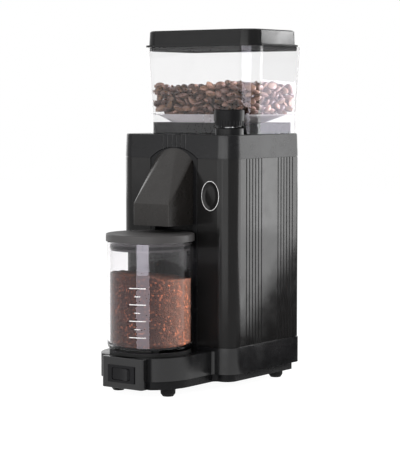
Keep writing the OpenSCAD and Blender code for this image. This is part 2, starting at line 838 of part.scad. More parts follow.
// Outer body of the chute, thinned by inset: an upright collar that leans back to an arch.
module chute_body(inset) {
    half = chute_w / 2 - inset;
    neck_half = arch_half - lip_w - seam;
    shoulder_z = spring_z - shoulder_drop - inset;
    crown = arch_rise + shoulder_drop - 0.8;
    crown_r = (pow(neck_half, 2) + pow(crown, 2)) / (2 * crown);
    hull() {
        translate([0, 0, mouth_z - (inset > 0 ? cut : 0)])
            linear_extrude(mouth_h - inset + (inset > 0 ? cut : 0))
                plan_rect(half, -chute_reach + inset, -chute_reach / 2, 1.2, 0.5, $fn = COARSE);
        translate([-neck_half + inset, -2 * eps, mouth_z - (inset > 0 ? cut : 0)])
            cube([2 * (neck_half - inset), eps, mouth_h]);
        rotate([90, 0, 0]) linear_extrude(eps) intersection() {
            translate([0, shoulder_z + inset + crown - crown_r]) circle(crown_r - inset, $fn = 64);
            translate([-neck_half + inset, mouth_z])
                square([2 * (neck_half - inset), shoulder_z + crown - mouth_z]);
        }
    }
}

module chute() {
    neck_inset = lip_w + seam + 0.15;
    color("#3a3733") placed() difference() {
        union() {
            chute_body(0);
            arch_solid(neck_inset, -eps, recess_d, mouth_z);
        }
        chute_body(chute_wall);
        arch_solid(neck_inset + chute_wall, -2 * eps, recess_d + cut, mouth_z - cut);
    }
}

// Cap and hopper seat

// Cap outline at its lower edge or, leaned in, at its top.
module cap_plan(lean, inset = 0) {
    off = lean - cap_proud + inset;
    plan_rect(half_w - off, off, body_d - off, front_r - off, max(rear_r - off, 1));
}

module cap() {
    edge_z = cap_top_z - cap_edge_h;
    color("#29292b") placed() difference() {
        hull() {
            translate([0, 0, cap_z]) linear_extrude(eps) cap_plan(0, $fn = COARSE);
            translate([0, 0, edge_z]) linear_extrude(eps) cap_plan(cap_lean, $fn = COARSE);
            translate([0, 0, cap_top_z - eps]) linear_extrude(eps)
                cap_plan(cap_lean, cap_edge_h, $fn = COARSE);
        }
        translate([0, 0, cap_z - cut]) linear_extrude(cut + reveal_h) difference() {
            cap_plan(-cut);
            cap_plan(0, reveal_d);
        }
        translate([0, 0, cap_z - cut]) linear_extrude(cap_h - cap_top_t + cut)
            cap_plan(cap_lean, wall);
        arch_solid(-arch_gap, -cut - cap_proud, wall + 2 * cut, cap_z - cut);
        translate([0, burr_y, cap_under_z - cut])
            cylinder(h = cap_top_t + 2 * cut, r = throat_r + throat_wall + 1);
        translate([knob_x, knob_y, cap_under_z - cut])
            cylinder(h = cap_top_t + 2 * cut, r = spindle_r + 2.5 + seam);
        for (k = [0:cap_flute_count - 1])
            translate([(k - (cap_flute_count - 1) / 2) * cap_flute_pitch, -cap_proud, cap_z])
                rotate([-atan(cap_lean / cap_h), 0, 0]) translate([0, 0, -cut])
                    cylinder(h = cap_h + 2 * cut, r = flute_r, $fn = 16);
    }
}

// Raised seat that the hopper's skirt drops over, dished for the funnel.
module hopper_seat() {
    inset = hopper_wall + seat_gap;
    corner = lid_rear_r + inset;
    color("#1f1f20") placed() difference() {
        union() {
            translate([0, 0, cap_top_z]) linear_extrude(seat_h) difference() {
                hopper_plan(inset, 0, corner);
                hopper_plan(inset + 2, 0, corner);
            }
            translate([0, 0, cap_top_z + seat_h - 2]) linear_extrude(2)
                hopper_plan(inset, 0, corner);
            intersection() {
                funnel_body(lift_fit + 2.5);
                translate([0, 0, cap_top_z]) linear_extrude(seat_h) hopper_plan(inset, 0, corner);
            }
        }
        funnel_body(lift_fit + 0.3);
        translate([0, burr_y, cap_top_z - cut])
            cylinder(h = seat_h, r = throat_r + throat_wall + 0.5);
    }
}

// Grind setting

module knob_collar() {
    collar_r = knob_r - 0.5;
    step = 0.8;
    color("#1f1f20") placed() translate([knob_x, knob_y, 0]) difference() {
        union() {
            translate([0, 0, cap_top_z]) cylinder(h = collar_h - step, r = collar_r);
            translate([0, 0, cap_top_z + collar_h - step - eps])
                cylinder(h = step + eps, r1 = collar_r, r2 = collar_r - step);
            translate([0, 0, cap_under_z]) cylinder(h = cap_top_t + eps, r = spindle_r + 2.5);
        }
        translate([0, 0, cap_under_z - cut]) cylinder(h = cap_h, r = spindle_r + run_fit);
    }
}

module knob() {
    top_r = 1.4;
    skirt_r = knob_r - 1;
    color("#1a1a1b") placed() translate([knob_x, knob_y, knob_z]) difference() {
        union() {
            translate([0, 0, -1.2]) cylinder(h = 2, r = knob_r - 3);
            cylinder(h = knob_skirt_h, r = skirt_r);
            for (k = [0:knob_ribs - 1]) rotate(k * 360 / knob_ribs)
                translate([skirt_r - 0.2, 0, 0]) cylinder(h = knob_skirt_h, r = 0.6, $fn = 16);
            translate([0, 0, knob_skirt_h - eps]) rotate_extrude() {
                square([knob_r - top_r, knob_cap_h]);
                square([knob_r, knob_cap_h - top_r]);
                translate([knob_r - top_r, knob_cap_h - top_r]) circle(top_r);
            }
        }
        translate([0, 0, -2]) cylinder(h = knob_skirt_h + knob_cap_h - 2, r = spindle_r);
    }
}

module knob_spindle() {
    color("#b0b0b0") placed() translate([knob_x, knob_y, cap_under_z - 0.5 - ring_t - 2])
        cylinder(h = knob_z + knob_skirt_h + knob_cap_h - 4 - cap_under_z + ring_t + 2.5,
            r = spindle_r);
}

module knob_pinion() {
    color("#c9c4b4") placed() translate([knob_x, knob_y, ring_arm_z - 0.5]) difference() {
        linear_extrude(ring_t + 1) gear_plan(setting_module, setting_pinion, 180 + knob_angle);
        translate([0, 0, -cut]) cylinder(h = ring_t + 3 * cut, r = spindle_r);
    }
}

// Ring that turns on the burr carrier; only the arm that meets the pinion has teeth.
module setting_ring_gear() {
    pitch = 360 / setting_ring;
    span = ceil((knob_swing * setting_ratio + 6) / pitch);
    hub_r = ring_burr_r + run_fit;
    rim_r = setting_module * (setting_ring / 2 - DEDENDUM);
    arm = span * pitch + pitch / 2;
    color("#c9c4b4") placed() translate([0, burr_y, 0]) difference() {
        union() {
            translate([0, 0, ring_hub_z])
                cylinder(h = ring_arm_z + ring_t - ring_hub_z, r = hub_r + ring_hub_wall);
            translate([0, 0, ring_arm_z]) linear_extrude(ring_t) {
                for (k = [-span:span])
                    polygon(concat([[0, 0]], tooth_points(setting_module, setting_ring,
                        knob_angle + (k + 0.5) * pitch)));
                polygon(concat([[0, 0]], [for (k = [-12:12])
                    rim_r * [cos(knob_angle + arm * k / 12), sin(knob_angle + arm * k / 12)]]));
            }
        }
        translate([0, 0, ring_hub_z - cut])
            cylinder(h = ring_arm_z + ring_t - ring_hub_z + 2 * cut, r = hub_r);
        for (k = [-1, 0, 1]) rotate(knob_angle + k * arm * 0.62)
            translate([(hub_r + ring_hub_wall + rim_r) / 2, 0, ring_arm_z - cut])
                cylinder(h = ring_t + 2 * cut, r = 6);
    }
}

// Burrs

module burr_carrier() {
    color("#8f8f92") placed() translate([0, burr_y, 0]) difference() {
        translate([0, 0, carrier_z]) cylinder(h = carrier_top_z - carrier_z, r = ring_burr_r);
        translate([0, 0, carrier_z - cut])
            cylinder(h = carrier_top_z - carrier_z + 2 * cut, r = carrier_bore_r);
    }
}

module ring_burr() {
    throat = cone_r + burr_gap;
    color("#b4b4b8") placed() translate([0, burr_y, cone_z]) difference() {
        cylinder(h = ring_burr_h, r = ring_burr_r);
        translate([0, 0, -eps]) cylinder(h = fine_h + 2 * eps, r1 = throat,
            r2 = throat - burr_slope);
        translate([0, 0, fine_h]) cylinder(h = ring_burr_h - fine_h + eps,
            r1 = throat - burr_slope, r2 = carrier_bore_r);
        for (k = [0:fine_teeth - 1]) rotate(k * 360 / fine_teeth)
            translate([throat - burr_slope / 2, 0, fine_h / 2])
                rotate([0, -atan(burr_slope / fine_h), 12])
                    cube([1.6, 0.9, 1.6 * fine_h], center = true);
    }
}

module cone_burr() {
    waist_r = cone_r - burr_slope;
    tip_r = 8;
    lean = atan((waist_r - tip_r) / (cone_h - fine_h));
    color("#b4b4b8") placed() translate([0, burr_y, cone_z]) difference() {
        union() {
            cylinder(h = fine_h, r1 = cone_r, r2 = waist_r);
            translate([0, 0, fine_h - eps])
                cylinder(h = cone_h - fine_h + eps, r1 = waist_r, r2 = tip_r);
        }
        translate([0, 0, -cut]) cylinder(h = cone_h + 2 * cut, r = shaft_r);
        for (k = [0:coarse_teeth - 1]) rotate(k * 360 / coarse_teeth)
            translate([(waist_r + tip_r) / 2 + 1, 0, fine_h + (cone_h - fine_h) / 2])
                rotate([0, -lean, 0]) rotate([14, 0, 0])
                    cube([5, 4.5, cone_h - fine_h + 4], center = true);
        for (k = [0:fine_teeth - 1]) rotate((k + 0.5) * 360 / fine_teeth)
            translate([cone_r - 1.2, 0, fine_h / 2]) rotate([0, -26, -12])
                cube([1.2, 0.9, 1.6 * fine_h], center = true);
    }
}

module burr_sweeper() {
    vanes = 6;
    vane_drop = 1.2;
    disc_z = chamber_z + chamber_wall + 0.5;
    color("#3d3d40") placed() translate([0, burr_y, 0]) difference() {
        union() {
            translate([0, 0, disc_z]) cylinder(h = cone_z - disc_z, r = cone_r);
            for (k = [0:vanes - 1]) rotate(k * 360 / vanes)
                translate([shaft_r + 1, -1.2, disc_z])
                    cube([chamber_r - 1 - shaft_r - 1, 2.4, cone_z - disc_z - vane_drop]);
        }
        translate([0, 0, disc_z - cut]) cylinder(h = cone_h, r = shaft_r);
    }
}

module burr_shaft() {
    color("#a8a8ab") placed() translate([0, burr_y, shaft_z]) difference() {
        cylinder(h = cone_z + cone_h - shaft_z, r = shaft_r);
        translate([0, 0, cone_z + cone_h - shaft_z - 10]) cylinder(h = 10 + cut, r = 2);
    }
}

module burr_bolt() {
    color("#9a9a9d") placed() translate([0, burr_y, cone_z + cone_h]) {
        cylinder(h = 1.2, r = 7.5);
        translate([0, 0, 1.2 - eps]) cylinder(h = 4, r = 4.5, $fn = 6);
        translate([0, 0, -9]) cylinder(h = 9 + eps, r = 2);
    }
}

module burr_chamber() {
    outer_r = chamber_r + chamber_wall;
    duct_half = outlet_w / 2 + 2;
    duct_y = recess_d + recess_wall;
    color("#38383b") placed() difference() {
        union() {
            translate([0, burr_y, chamber_z]) cylinder(h = chamber_h, r = outer_r);
            translate([-duct_half, duct_y, chamber_z + 2])
                cube([2 * duct_half, burr_y - duct_y, outlet_h + 4]);
            for (x = [-1, 1], y = [-1, 1]) translate([x * 24, burr_y + y * 24, upper_top_z()])
                cylinder(h = chamber_z + chamber_h - upper_top_z(), r = pillar_r);
        }
        translate([0, burr_y, chamber_z + chamber_wall]) cylinder(h = chamber_h, r = chamber_r);
        translate([-outlet_w / 2, duct_y - cut, chamber_z + 4])
            cube([outlet_w, burr_y - duct_y, outlet_h]);
        translate([0, burr_y, chamber_z - cut])
            cylinder(h = chamber_wall + 2 * cut, r = shaft_r + lift_fit);
    }
}

// Top face of the gearbox's upper plate.
function upper_top_z() = upper_plate_z + gear_plate_t;

module chamber_cover() {
    color("#38383b") placed() translate([0, burr_y, cover_z]) difference() {
        cylinder(h = cover_t, r = chamber_r + chamber_wall);
        translate([0, 0, -cut]) cylinder(h = cover_t + 2 * cut, r = ring_burr_r + run_fit);
        for (k = [0:2]) rotate(30 + k * 120) translate([chamber_r + 0.2, 0, -cut])
            cylinder(h = cover_t + 2 * cut, r = 1.5);
    }
}

// Drive

module burr_shaft_bearing() {
    color("#b9975b") placed() translate([0, burr_y, upper_plate_z - 2]) difference() {
        union() {
            cylinder(h = gear_plate_t + 4, r = shaft_r + 3);
            cylinder(h = 2, r = shaft_r + 5);
        }
        translate([0, 0, -cut]) cylinder(h = gear_plate_t + 6, r = shaft_r + run_fit);
    }
}

module output_gear() {
    color("#d7d2c4") placed() translate([0, burr_y, second_z]) difference() {
        linear_extrude(second_face) gear_plan(drive_module, output_teeth, 180);
        translate([0, 0, -cut]) cylinder(h = second_face + 2 * cut, r = shaft_r);
        for (k = [0:4]) rotate(36 + k * 72) translate([drive_module * output_teeth * 0.31, 0, -cut])
            cylinder(h = second_face + 2 * cut, r = 3.2);
    }
}

module layshaft() {
    color("#a8a8ab") placed() translate([-drive_reach, burr_y, lower_plate_z])
        cylinder(h = upper_plate_z + gear_plate_t - lower_plate_z, r = lay_r);
}

module layshaft_wheel() {
    color("#d7d2c4") placed() translate([-drive_reach, burr_y, first_z + 0.5]) difference() {
        linear_extrude(first_face) gear_plan(drive_module, wheel_teeth, 180 / wheel_teeth);
        translate([0, 0, -cut]) cylinder(h = first_face + 2 * cut, r = lay_r);
        for (k = [0:5]) rotate(30 + k * 60) translate([drive_module * wheel_teeth * 0.3, 0, -cut])
            cylinder(h = first_face + 2 * cut, r = 4);
    }
}

module layshaft_pinion() {
    color("#a8a8ab") placed() translate([-drive_reach, burr_y, first_z + 0.5 + first_face])
        difference() {
            union() {
                cylinder(h = second_z - first_z - first_face, r = lay_r + 3);
                translate([0, 0, second_z - first_z - first_face - 1])
                    linear_extrude(second_face + 1) gear_plan(drive_module, lay_teeth,
                        180 / lay_teeth);
            }
            translate([0, 0, -cut]) cylinder(h = 2 * second_face, r = lay_r);
        }
}

// Plate of the gearbox with the holes that the shafts and pillars need.
module gearbox_plate(centre_r) {
    linear_extrude(gear_plate_t) difference() {
        plan_rect(box_half, box_front, box_rear, box_r, box_r);
        translate([0, burr_y]) circle(centre_r);
        translate([-drive_reach, burr_y]) circle(lay_r + run_fit);
        for (at = PILLARS) translate([at.x, at.y]) circle(pillar_r / 2);
    }
}

module gearbox_lower_plate() {
    color("#9da0a3") placed() translate([0, 0, lower_plate_z]) gearbox_plate(motor_boss_r + 0.2);
}

module gearbox_upper_plate() {
    color("#9da0a3") placed() translate([0, 0, upper_plate_z]) gearbox_plate(shaft_r + 3 + run_fit);
}

module gearbox_pillars() {
    color("#9da0a3") placed() for (at = PILLARS) translate([at.x, at.y, 0]) {
        translate([0, 0, seat_z]) cylinder(h = lower_plate_z - seat_z, r = pillar_r);
        translate([0, 0, lower_plate_z + gear_plate_t])
            cylinder(h = upper_plate_z - lower_plate_z - gear_plate_t, r = pillar_r);
        translate([0, 0, lower_plate_z - eps]) cylinder(h = gear_plate_t + 2 * eps, r = pillar_r / 2 - run_fit);
    }
}

module motor_can() {
    color("#77797c") placed() translate([0, burr_y, motor_z]) difference() {
        union() {
            cylinder(h = motor_h, r = motor_r);
            translate([0, 0, motor_h - eps]) cylinder(h = motor_boss_h, r = motor_boss_r);
        }
        translate([0, 0, -cut]) cylinder(h = motor_h - can_wall + cut, r = motor_r - can_wall);
        cylinder(h = motor_h + 5, r = lay_r + run_fit);
    }
}

module motor_end_cap() {
    color("#2d2d30") placed() translate([0, burr_y, motor_z]) difference() {
        union() {
            translate([0, 0, -end_cap_t]) cylinder(h = end_cap_t, r = motor_r);
            translate([0, 0, -end_cap_t - end_boss_h]) cylinder(h = end_boss_h + eps, r = end_boss_r);
            for (k = [0, 1]) rotate(k * 180) translate([commutator_r + 3, -4, -end_cap_t])
                cube([9, 8, end_cap_t + commutator_h + 1]);
        }
        translate([0, 0, 2 - end_cap_t - end_boss_h])
            cylinder(h = end_cap_t + end_boss_h, r = lay_r + run_fit);
    }
}

module motor_magnets() {
    magnet_gap = 12;
    color("#3a3f45") placed() translate([0, burr_y, core_z - 2]) difference() {
        cylinder(h = magnet_h, r = motor_r - can_wall);
        translate([0, 0, -cut])
            cylinder(h = magnet_h + 2 * cut, r = motor_r - can_wall - magnet_t);
        for (k = [0, 1]) rotate(90 + k * 180) translate([-magnet_gap / 2, 0, -cut])
            cube([magnet_gap, motor_r, magnet_h + 2 * cut]);
    }
}

module motor_shaft() {
    color("#a8a8ab") placed() translate([0, burr_y, motor_z - 6])
        cylinder(h = first_z + first_face + 1 - motor_z + 6, r = lay_r);
}

module motor_core() {
    slots = 10;
    slot_w = 2.6;
    color("#6f7275") placed() translate([0, burr_y, core_z]) difference() {
        cylinder(h = core_h, r = core_r);
        translate([0, 0, -cut]) cylinder(h = core_h + 2 * cut, r = lay_r);
        for (k = [0:slots - 1]) rotate(k * 360 / slots) translate([core_r * 0.4, -slot_w / 2, -cut])
            cube([core_r, slot_w, core_h + 2 * cut]);
    }
}

module motor_windings() {
    color("#b5652b") placed() translate([0, burr_y, core_z]) for (z = [-winding_h, core_h])
        translate([0, 0, z]) difference() {
            cylinder(h = winding_h, r = winding_r);
            translate([0, 0, -cut]) cylinder(h = winding_h + 2 * cut, r = lay_r);
        }
}

module motor_commutator() {
    bars = 20;
    bar_gap = 0.5;
    color("#b87333") placed() translate([0, burr_y, motor_z + 2]) difference() {
        cylinder(h = commutator_h, r = commutator_r);
        translate([0, 0, -cut]) cylinder(h = commutator_h + 2 * cut, r = lay_r);
        for (k = [0:bars - 1]) rotate(k * 360 / bars)
            translate([commutator_r - 0.8, -bar_gap / 2, -cut])
                cube([2, bar_gap, commutator_h + 2 * cut]);
    }
}

module motor_pinion() {
    color("#a8a8ab") placed() translate([0, burr_y, first_z]) difference() {
        linear_extrude(first_face + 1) gear_plan(drive_module, motor_teeth, 0);
        translate([0, 0, -cut]) cylinder(h = first_face + 3, r = lay_r);
    }
}

module control_board() {
    color("#2f6b3f") placed() difference() {
        union() {
            translate([board_x, board_y, board_z]) cube([board_w, board_l, board_t]);
            for (at = BOARD_POSTS) translate([at.x, at.y, plate_z + plate_t])
                cylinder(h = board_z - plate_z - plate_t + eps, r = board_post_r);
        }
        for (at = BOARD_POSTS) translate([at.x, at.y, plate_z])
            cylinder(h = board_top_z - plate_z + cut, r = 1.2);
    }
}

module board_parts() {
    color("#4a4a4e") placed() {
        translate([board_x + board_w / 8, board_y + board_l / 5, board_top_z])
            cube([board_w * 2 / 3, board_l / 5, board_part_h]);
        translate([board_x + board_w / 6, board_y + board_l * 0.45, board_top_z])
            cube([board_w * 0.6, board_l / 12, board_part_h - 1]);
        for (x = [0.3, 0.67]) translate([board_x + board_w * x, board_y + board_l * 0.7, board_top_z])
            cylinder(h = board_part_h, r = board_w * 0.15);
    }
}

// Hopper

module hopper() {
    color("#eef2f4", 0.4) placed() difference() {
        union() {
            translate([0, 0, hopper_z]) linear_extrude(skirt_h) hopper_plan();
            hopper_loft(floor_z - eps, rim_z, 0, 0, bin_flare);
        }
        translate([0, 0, hopper_z - cut]) linear_extrude(skirt_h - floor_t + cut)
            hopper_plan(hopper_wall);
        hopper_loft(floor_z, rim_z + 0.1, hopper_wall, 0, bin_flare);
        translate([0, 0, floor_z - floor_t - cut]) linear_extrude(floor_t + 2 * cut)
            hopper_plan(hopper_wall + ledge);
    }
}

// Clear funnel under the hopper's floor, down to the burrs.
module hopper_funnel() {
    color("#eef2f4", 0.4) placed() difference() {
        union() {
            difference() {
                funnel_body(0.3);
                translate([0, 0, floor_z - floor_t - 0.5]) linear_extrude(4) hopper_plan(0);
            }
            translate([0, 0, floor_z - floor_t - 0.8]) linear_extrude(0.8) hopper_plan(hopper_wall + 2);
            translate([0, burr_y, funnel_low_z - throat_h]) cylinder(h = throat_h + 1, r = throat_r);
        }
        translate([0, 0, 0.05]) funnel_body(-1.6);
        translate([0, 0, floor_z - floor_t - 1]) linear_extrude(4)
            hopper_plan(hopper_wall + ledge + 1.6);
        translate([0, burr_y, funnel_low_z - throat_h - cut])
            cylinder(h = throat_h + 3, r = throat_r - throat_wall);
    }
}

module hopper_lid() {
    side_grow = bin_flare + 0.5 - lid_over;
    body_z = lid_z + lid_flange_t;
    color("#1d1d1e") placed() difference() {
        union() {
            translate([0, 0, lid_z]) linear_extrude(lid_flange_t)
                hopper_plan(0, bin_flare + 0.5, lid_rear_r);
            hopper_loft(body_z - eps, body_z + lid_h - 1.2, 0, side_grow, side_grow - 0.6, lid_rear_r);
            hopper_loft(body_z + lid_h - 1.2, body_z + lid_h, 0, side_grow - 0.6, side_grow - 1.8,
                lid_rear_r);
            translate([0, 0, lid_z - lid_plug_h]) linear_extrude(lid_plug_h + eps) difference() {
                hopper_plan(hopper_wall + 1.4, bin_flare * 0.88);
                hopper_plan(hopper_wall + 1.4 + lid_wall, bin_flare * 0.88);
            }
        }
        translate([0, 0, lid_z - cut]) linear_extrude(lid_h + lid_flange_t - lid_wall + cut)
            hopper_plan(hopper_wall + 1.4 + lid_wall, bin_flare * 0.88);
    }
}

module hopper_lid_seal() {
    color("#2a2d33") placed() translate([0, 0, lid_z - lid_plug_h + 1.5]) linear_extrude(2)
        difference() {
            hopper_plan(hopper_wall + 1, bin_flare * 0.88);
            hopper_plan(hopper_wall + 1.4, bin_flare * 0.88);
        }
}

// Jar

module jar() {
    inner_r = jar_r - glass_t;
    color("#e9eef0", 0.35) placed() translate([0, jar_y, jar_z]) rotate_extrude() difference() {
        union() {
            square([jar_r - jar_edge_r, jar_h]);
            translate([0, jar_edge_r]) square([jar_r, jar_h - jar_edge_r - 1]);
            translate([jar_r - jar_edge_r, jar_edge_r]) circle(jar_edge_r);
            translate([inner_r, jar_h - 1]) square([glass_t - 1, 1]);
            translate([jar_r - 1, jar_h - 1]) circle(1);
        }
        translate([0, glass_t + 0.8 + jar_edge_r]) square([inner_r, jar_h]);
        translate([0, glass_t + 0.8]) square([inner_r - jar_edge_r, jar_edge_r + 1]);
        intersection() {
            translate([inner_r - jar_edge_r, glass_t + 0.8 + jar_edge_r]) circle(jar_edge_r);
            square([inner_r, glass_t + 0.8 + jar_edge_r + eps]);
        }
        translate([-jar_r, -cut]) square([jar_r, jar_h + 2 * cut]);
    }
}

module jar_lid() {
    top_r = jar_r + jar_lid_over;
    plug_r = jar_r - glass_t - 1;
    body_h = jar_lid_top_z - jar_lid_z;
    color("#2f2f30") placed() translate([0, jar_y, jar_lid_z]) rotate_extrude() difference() {
        union() {
            square([top_r, body_h - 1]);
            square([top_r - 1, body_h]);
            translate([top_r - 1, body_h - 1]) circle(1);
            translate([0, -jar_plug_h]) square([plug_r, jar_plug_h + eps]);
        }
        translate([-cut, -jar_plug_h - cut]) square([plug_r - 2 + cut, jar_plug_h + cut + 2]);
        translate([plug_r - 1, -jar_plug_h + 2]) square([2, 3]);
        translate([-jar_r, -cut]) square([jar_r, body_h + 2 * cut]);
    }
}

module jar_lid_seal() {
    plug_r = jar_r - glass_t - 1;
    color("#3a3a3c") placed() translate([0, jar_y, jar_lid_z - jar_plug_h + 2]) difference() {
        cylinder(h = 3, r = plug_r + 1 - lift_fit);
        translate([0, 0, -cut]) cylinder(h = 3 + 2 * cut, r = plug_r - 1);
    }
}

base_tub();
base_plate();
rubber_feet();
foot_screws();
jar_pad();
switch_panel();
switch_body();
switch_rocker();
housing_shell();
rear_cover();
rear_cover_screws();
cord_gland();
gland_nut();
chute_frame();
chute();
cap();
hopper_seat();
knob_collar();
knob();
knob_spindle();
knob_pinion();
setting_ring_gear();
burr_carrier();
ring_burr();
cone_burr();
burr_sweeper();
burr_shaft();
burr_bolt();
burr_chamber();
chamber_cover();
burr_shaft_bearing();
output_gear();
layshaft();
layshaft_wheel();
layshaft_pinion();
gearbox_lower_plate();
gearbox_upper_plate();
gearbox_pillars();
motor_can();
motor_end_cap();
motor_magnets();
motor_shaft();
motor_core();
motor_windings();
motor_commutator();
motor_pinion();
control_board();
board_parts();
hopper();
hopper_funnel();
hopper_lid();
hopper_lid_seal();
jar();
jar_lid();
jar_lid_seal();
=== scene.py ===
"""Looks of a burr coffee grinder with a clear hopper and a glass jar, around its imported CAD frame."""

import json
import math
import random

import bmesh
import bpy
from mathutils import Matrix, Vector, noise


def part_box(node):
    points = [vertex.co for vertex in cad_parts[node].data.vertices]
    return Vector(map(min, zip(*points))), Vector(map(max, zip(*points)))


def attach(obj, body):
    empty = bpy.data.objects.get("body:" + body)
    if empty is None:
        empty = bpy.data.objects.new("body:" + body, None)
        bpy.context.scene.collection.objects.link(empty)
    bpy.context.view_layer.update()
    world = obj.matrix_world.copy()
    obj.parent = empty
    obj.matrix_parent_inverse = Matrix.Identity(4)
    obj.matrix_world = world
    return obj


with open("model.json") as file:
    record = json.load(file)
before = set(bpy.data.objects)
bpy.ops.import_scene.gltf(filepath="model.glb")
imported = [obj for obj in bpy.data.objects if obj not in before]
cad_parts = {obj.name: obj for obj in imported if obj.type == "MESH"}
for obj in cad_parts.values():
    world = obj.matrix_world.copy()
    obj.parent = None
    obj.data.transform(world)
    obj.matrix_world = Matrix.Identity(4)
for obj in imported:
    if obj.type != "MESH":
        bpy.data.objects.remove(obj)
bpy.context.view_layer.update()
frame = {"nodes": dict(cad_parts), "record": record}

MM = 0.001
FULL_TURN = 2 * math.pi

# ---------------------------------------------------------------- camera and room

CAMERA_PLACE = Vector((0.99508, -1.32126, 0.27508))
CAMERA_AZIMUTH = 36.52
CAMERA_TILT = 4.25
CAMERA_LENS = 136.27
CAMERA_SENSOR = 36
CAMERA_CLIP = (0.05, 50)

WHITE = (1, 1, 1, 1)
ROOM_LIGHT = 0.33
SEEN_LIGHT = 1
FLOOR_SIZE = (6.0, 6.0)
FLOOR_COLOUR = (0.86, 0.86, 0.86, 1)
FLOOR_GLOW_SHARE = 0.8
FLOOR_GLOW = 1.2


def make_camera():
    data = bpy.data.cameras.new("camera")
    camera = bpy.data.objects.new("camera", data)
    bpy.context.scene.collection.objects.link(camera)
    camera.location = CAMERA_PLACE
    camera.rotation_euler = (math.radians(90 - CAMERA_TILT), 0, math.radians(CAMERA_AZIMUTH))
    data.lens = CAMERA_LENS
    data.sensor_width = CAMERA_SENSOR
    data.clip_start, data.clip_end = CAMERA_CLIP
    bpy.context.scene.camera = camera


def maths(nodes, links, operation, first, second):
    """A math node's result; first is a socket, second a socket or a number."""
    node = nodes.new("ShaderNodeMath")
    node.operation = operation
    links.new(first, node.inputs[0])
    if isinstance(second, bpy.types.NodeSocket):
        links.new(second, node.inputs[1])
    else:
        node.inputs[1].default_value = second
    return node.outputs[0]


def blend(nodes, links, share, first, second):
    """A mix of two shaders: first where share is 0, second where it is 1."""
    node = nodes.new("ShaderNodeMixShader")
    for source, socket in zip((share, first, second), node.inputs):
        links.new(source, socket)
    return node.outputs[0]


def seen_ray(nodes, links):
    """1 for rays that show the room itself: straight from the camera, off gloss and through glass."""
    path = nodes.new("ShaderNodeLightPath")
    first = maths(nodes, links, "MAXIMUM", path.outputs["Is Camera Ray"], path.outputs["Is Glossy Ray"])
    return maths(nodes, links, "MAXIMUM", first, path.outputs["Is Transmission Ray"])


def room_shader(nodes, strength):
    shader = nodes.new("ShaderNodeBackground")
    shader.inputs["Color"].default_value = WHITE
    shader.inputs["Strength"].default_value = strength
    return shader.outputs[0]


def make_world():
    """Soft light from all around, in a room that looks white."""
    world = bpy.data.worlds.new("studio")
    bpy.context.scene.world = world
    world.use_nodes = True
    nodes, links = world.node_tree.nodes, world.node_tree.links
    nodes.clear()
    out = nodes.new("ShaderNodeOutputWorld")
    light = room_shader(nodes, ROOM_LIGHT)
    white = room_shader(nodes, SEEN_LIGHT)
    links.new(blend(nodes, links, seen_ray(nodes, links), light, white), out.inputs["Surface"])


def flat_sheet(name, size):
    """A flat rectangle about its own origin."""
    half_x, half_y = size[0] / 2, size[1] / 2
    corners = [(-half_x, -half_y, 0), (half_x, -half_y, 0), (half_x, half_y, 0), (-half_x, half_y, 0)]
    mesh = bpy.data.meshes.new(name)
    mesh.from_pydata(corners, [], [(0, 1, 2, 3)])
    sheet = bpy.data.objects.new(name, mesh)
    bpy.context.scene.collection.objects.link(sheet)
    return sheet


def make_floor():
    """A pale floor that fades into the room and keeps the object's shadow."""
    floor = flat_sheet("floor", FLOOR_SIZE)
    material = bpy.data.materials.new("floor_pale")
    material.use_nodes = True
    nodes, links = material.node_tree.nodes, material.node_tree.links
    nodes.clear()
    out = nodes.new("ShaderNodeOutputMaterial")
    plain = nodes.new("ShaderNodeBsdfDiffuse")
    plain.inputs["Color"].default_value = FLOOR_COLOUR
    glow = nodes.new("ShaderNodeEmission")
    glow.inputs["Strength"].default_value = FLOOR_GLOW
    share = maths(nodes, links, "MULTIPLY", seen_ray(nodes, links), FLOOR_GLOW_SHARE)
    links.new(blend(nodes, links, share, plain.outputs[0], glow.outputs[0]), out.inputs["Surface"])
    floor.data.materials.append(material)


# ---------------------------------------------------------------- lamps and cards


def around(azimuth, distance, height):
    """A place at azimuth degrees from straight in front, positive to the right."""
    turn = math.radians(azimuth)
    return Vector((distance * math.sin(turn), -distance * math.cos(turn), height))


def facing(place, aim, spin=0.0):
    """The rotation of a lamp or card at place that faces aim, spun about its own axis."""
    turn = (Vector(aim) - Vector(place)).to_track_quat("-Z", "Y")
    return (turn @ Matrix.Rotation(math.radians(spin), 3, "Z").to_quaternion()).to_euler()


def link_light(lamp, names, state):
    """Lets lamp light only the named objects (state INCLUDE), or all but them (EXCLUDE)."""
    group = bpy.data.collections.new(lamp.name + "_receivers")
    lamp.light_linking.receiver_collection = group
    for name in names:
        group.objects.link(frame["nodes"].get(name) or bpy.data.objects[name])
    for member in group.collection_objects:
        member.light_linking.link_state = state


def soft_box(name, place, aim, size, radiance, spin=0.0, tint=(1, 1, 1), only=(), without=()):
    """A rectangular lamp that faces aim; radiance is how bright its face is, where 1 is white."""
    data = bpy.data.lights.new(name, "AREA")
    data.shape = "RECTANGLE"
    data.size, data.size_y = size
    data.energy = radiance * math.pi * size[0] * size[1]
    data.color = tint
    lamp = bpy.data.objects.new(name, data)
    bpy.context.scene.collection.objects.link(lamp)
    lamp.location = place
    lamp.rotation_euler = facing(place, aim, spin)
    lamp.visible_camera = False
    lamp.visible_transmission = False
    if only:
        link_light(lamp, only, "INCLUDE")
    if without:
        link_light(lamp, without, "EXCLUDE")


def dark_card(name, place, aim, size, material):
    """A black studio card that only reflections see."""
    card = flat_sheet(name, size)
    card.data.materials.append(material)
    card.location = place
    card.rotation_euler = facing(place, aim)
    card.visible_camera = False
    card.visible_diffuse = False
    card.visible_transmission = False
    card.visible_shadow = False


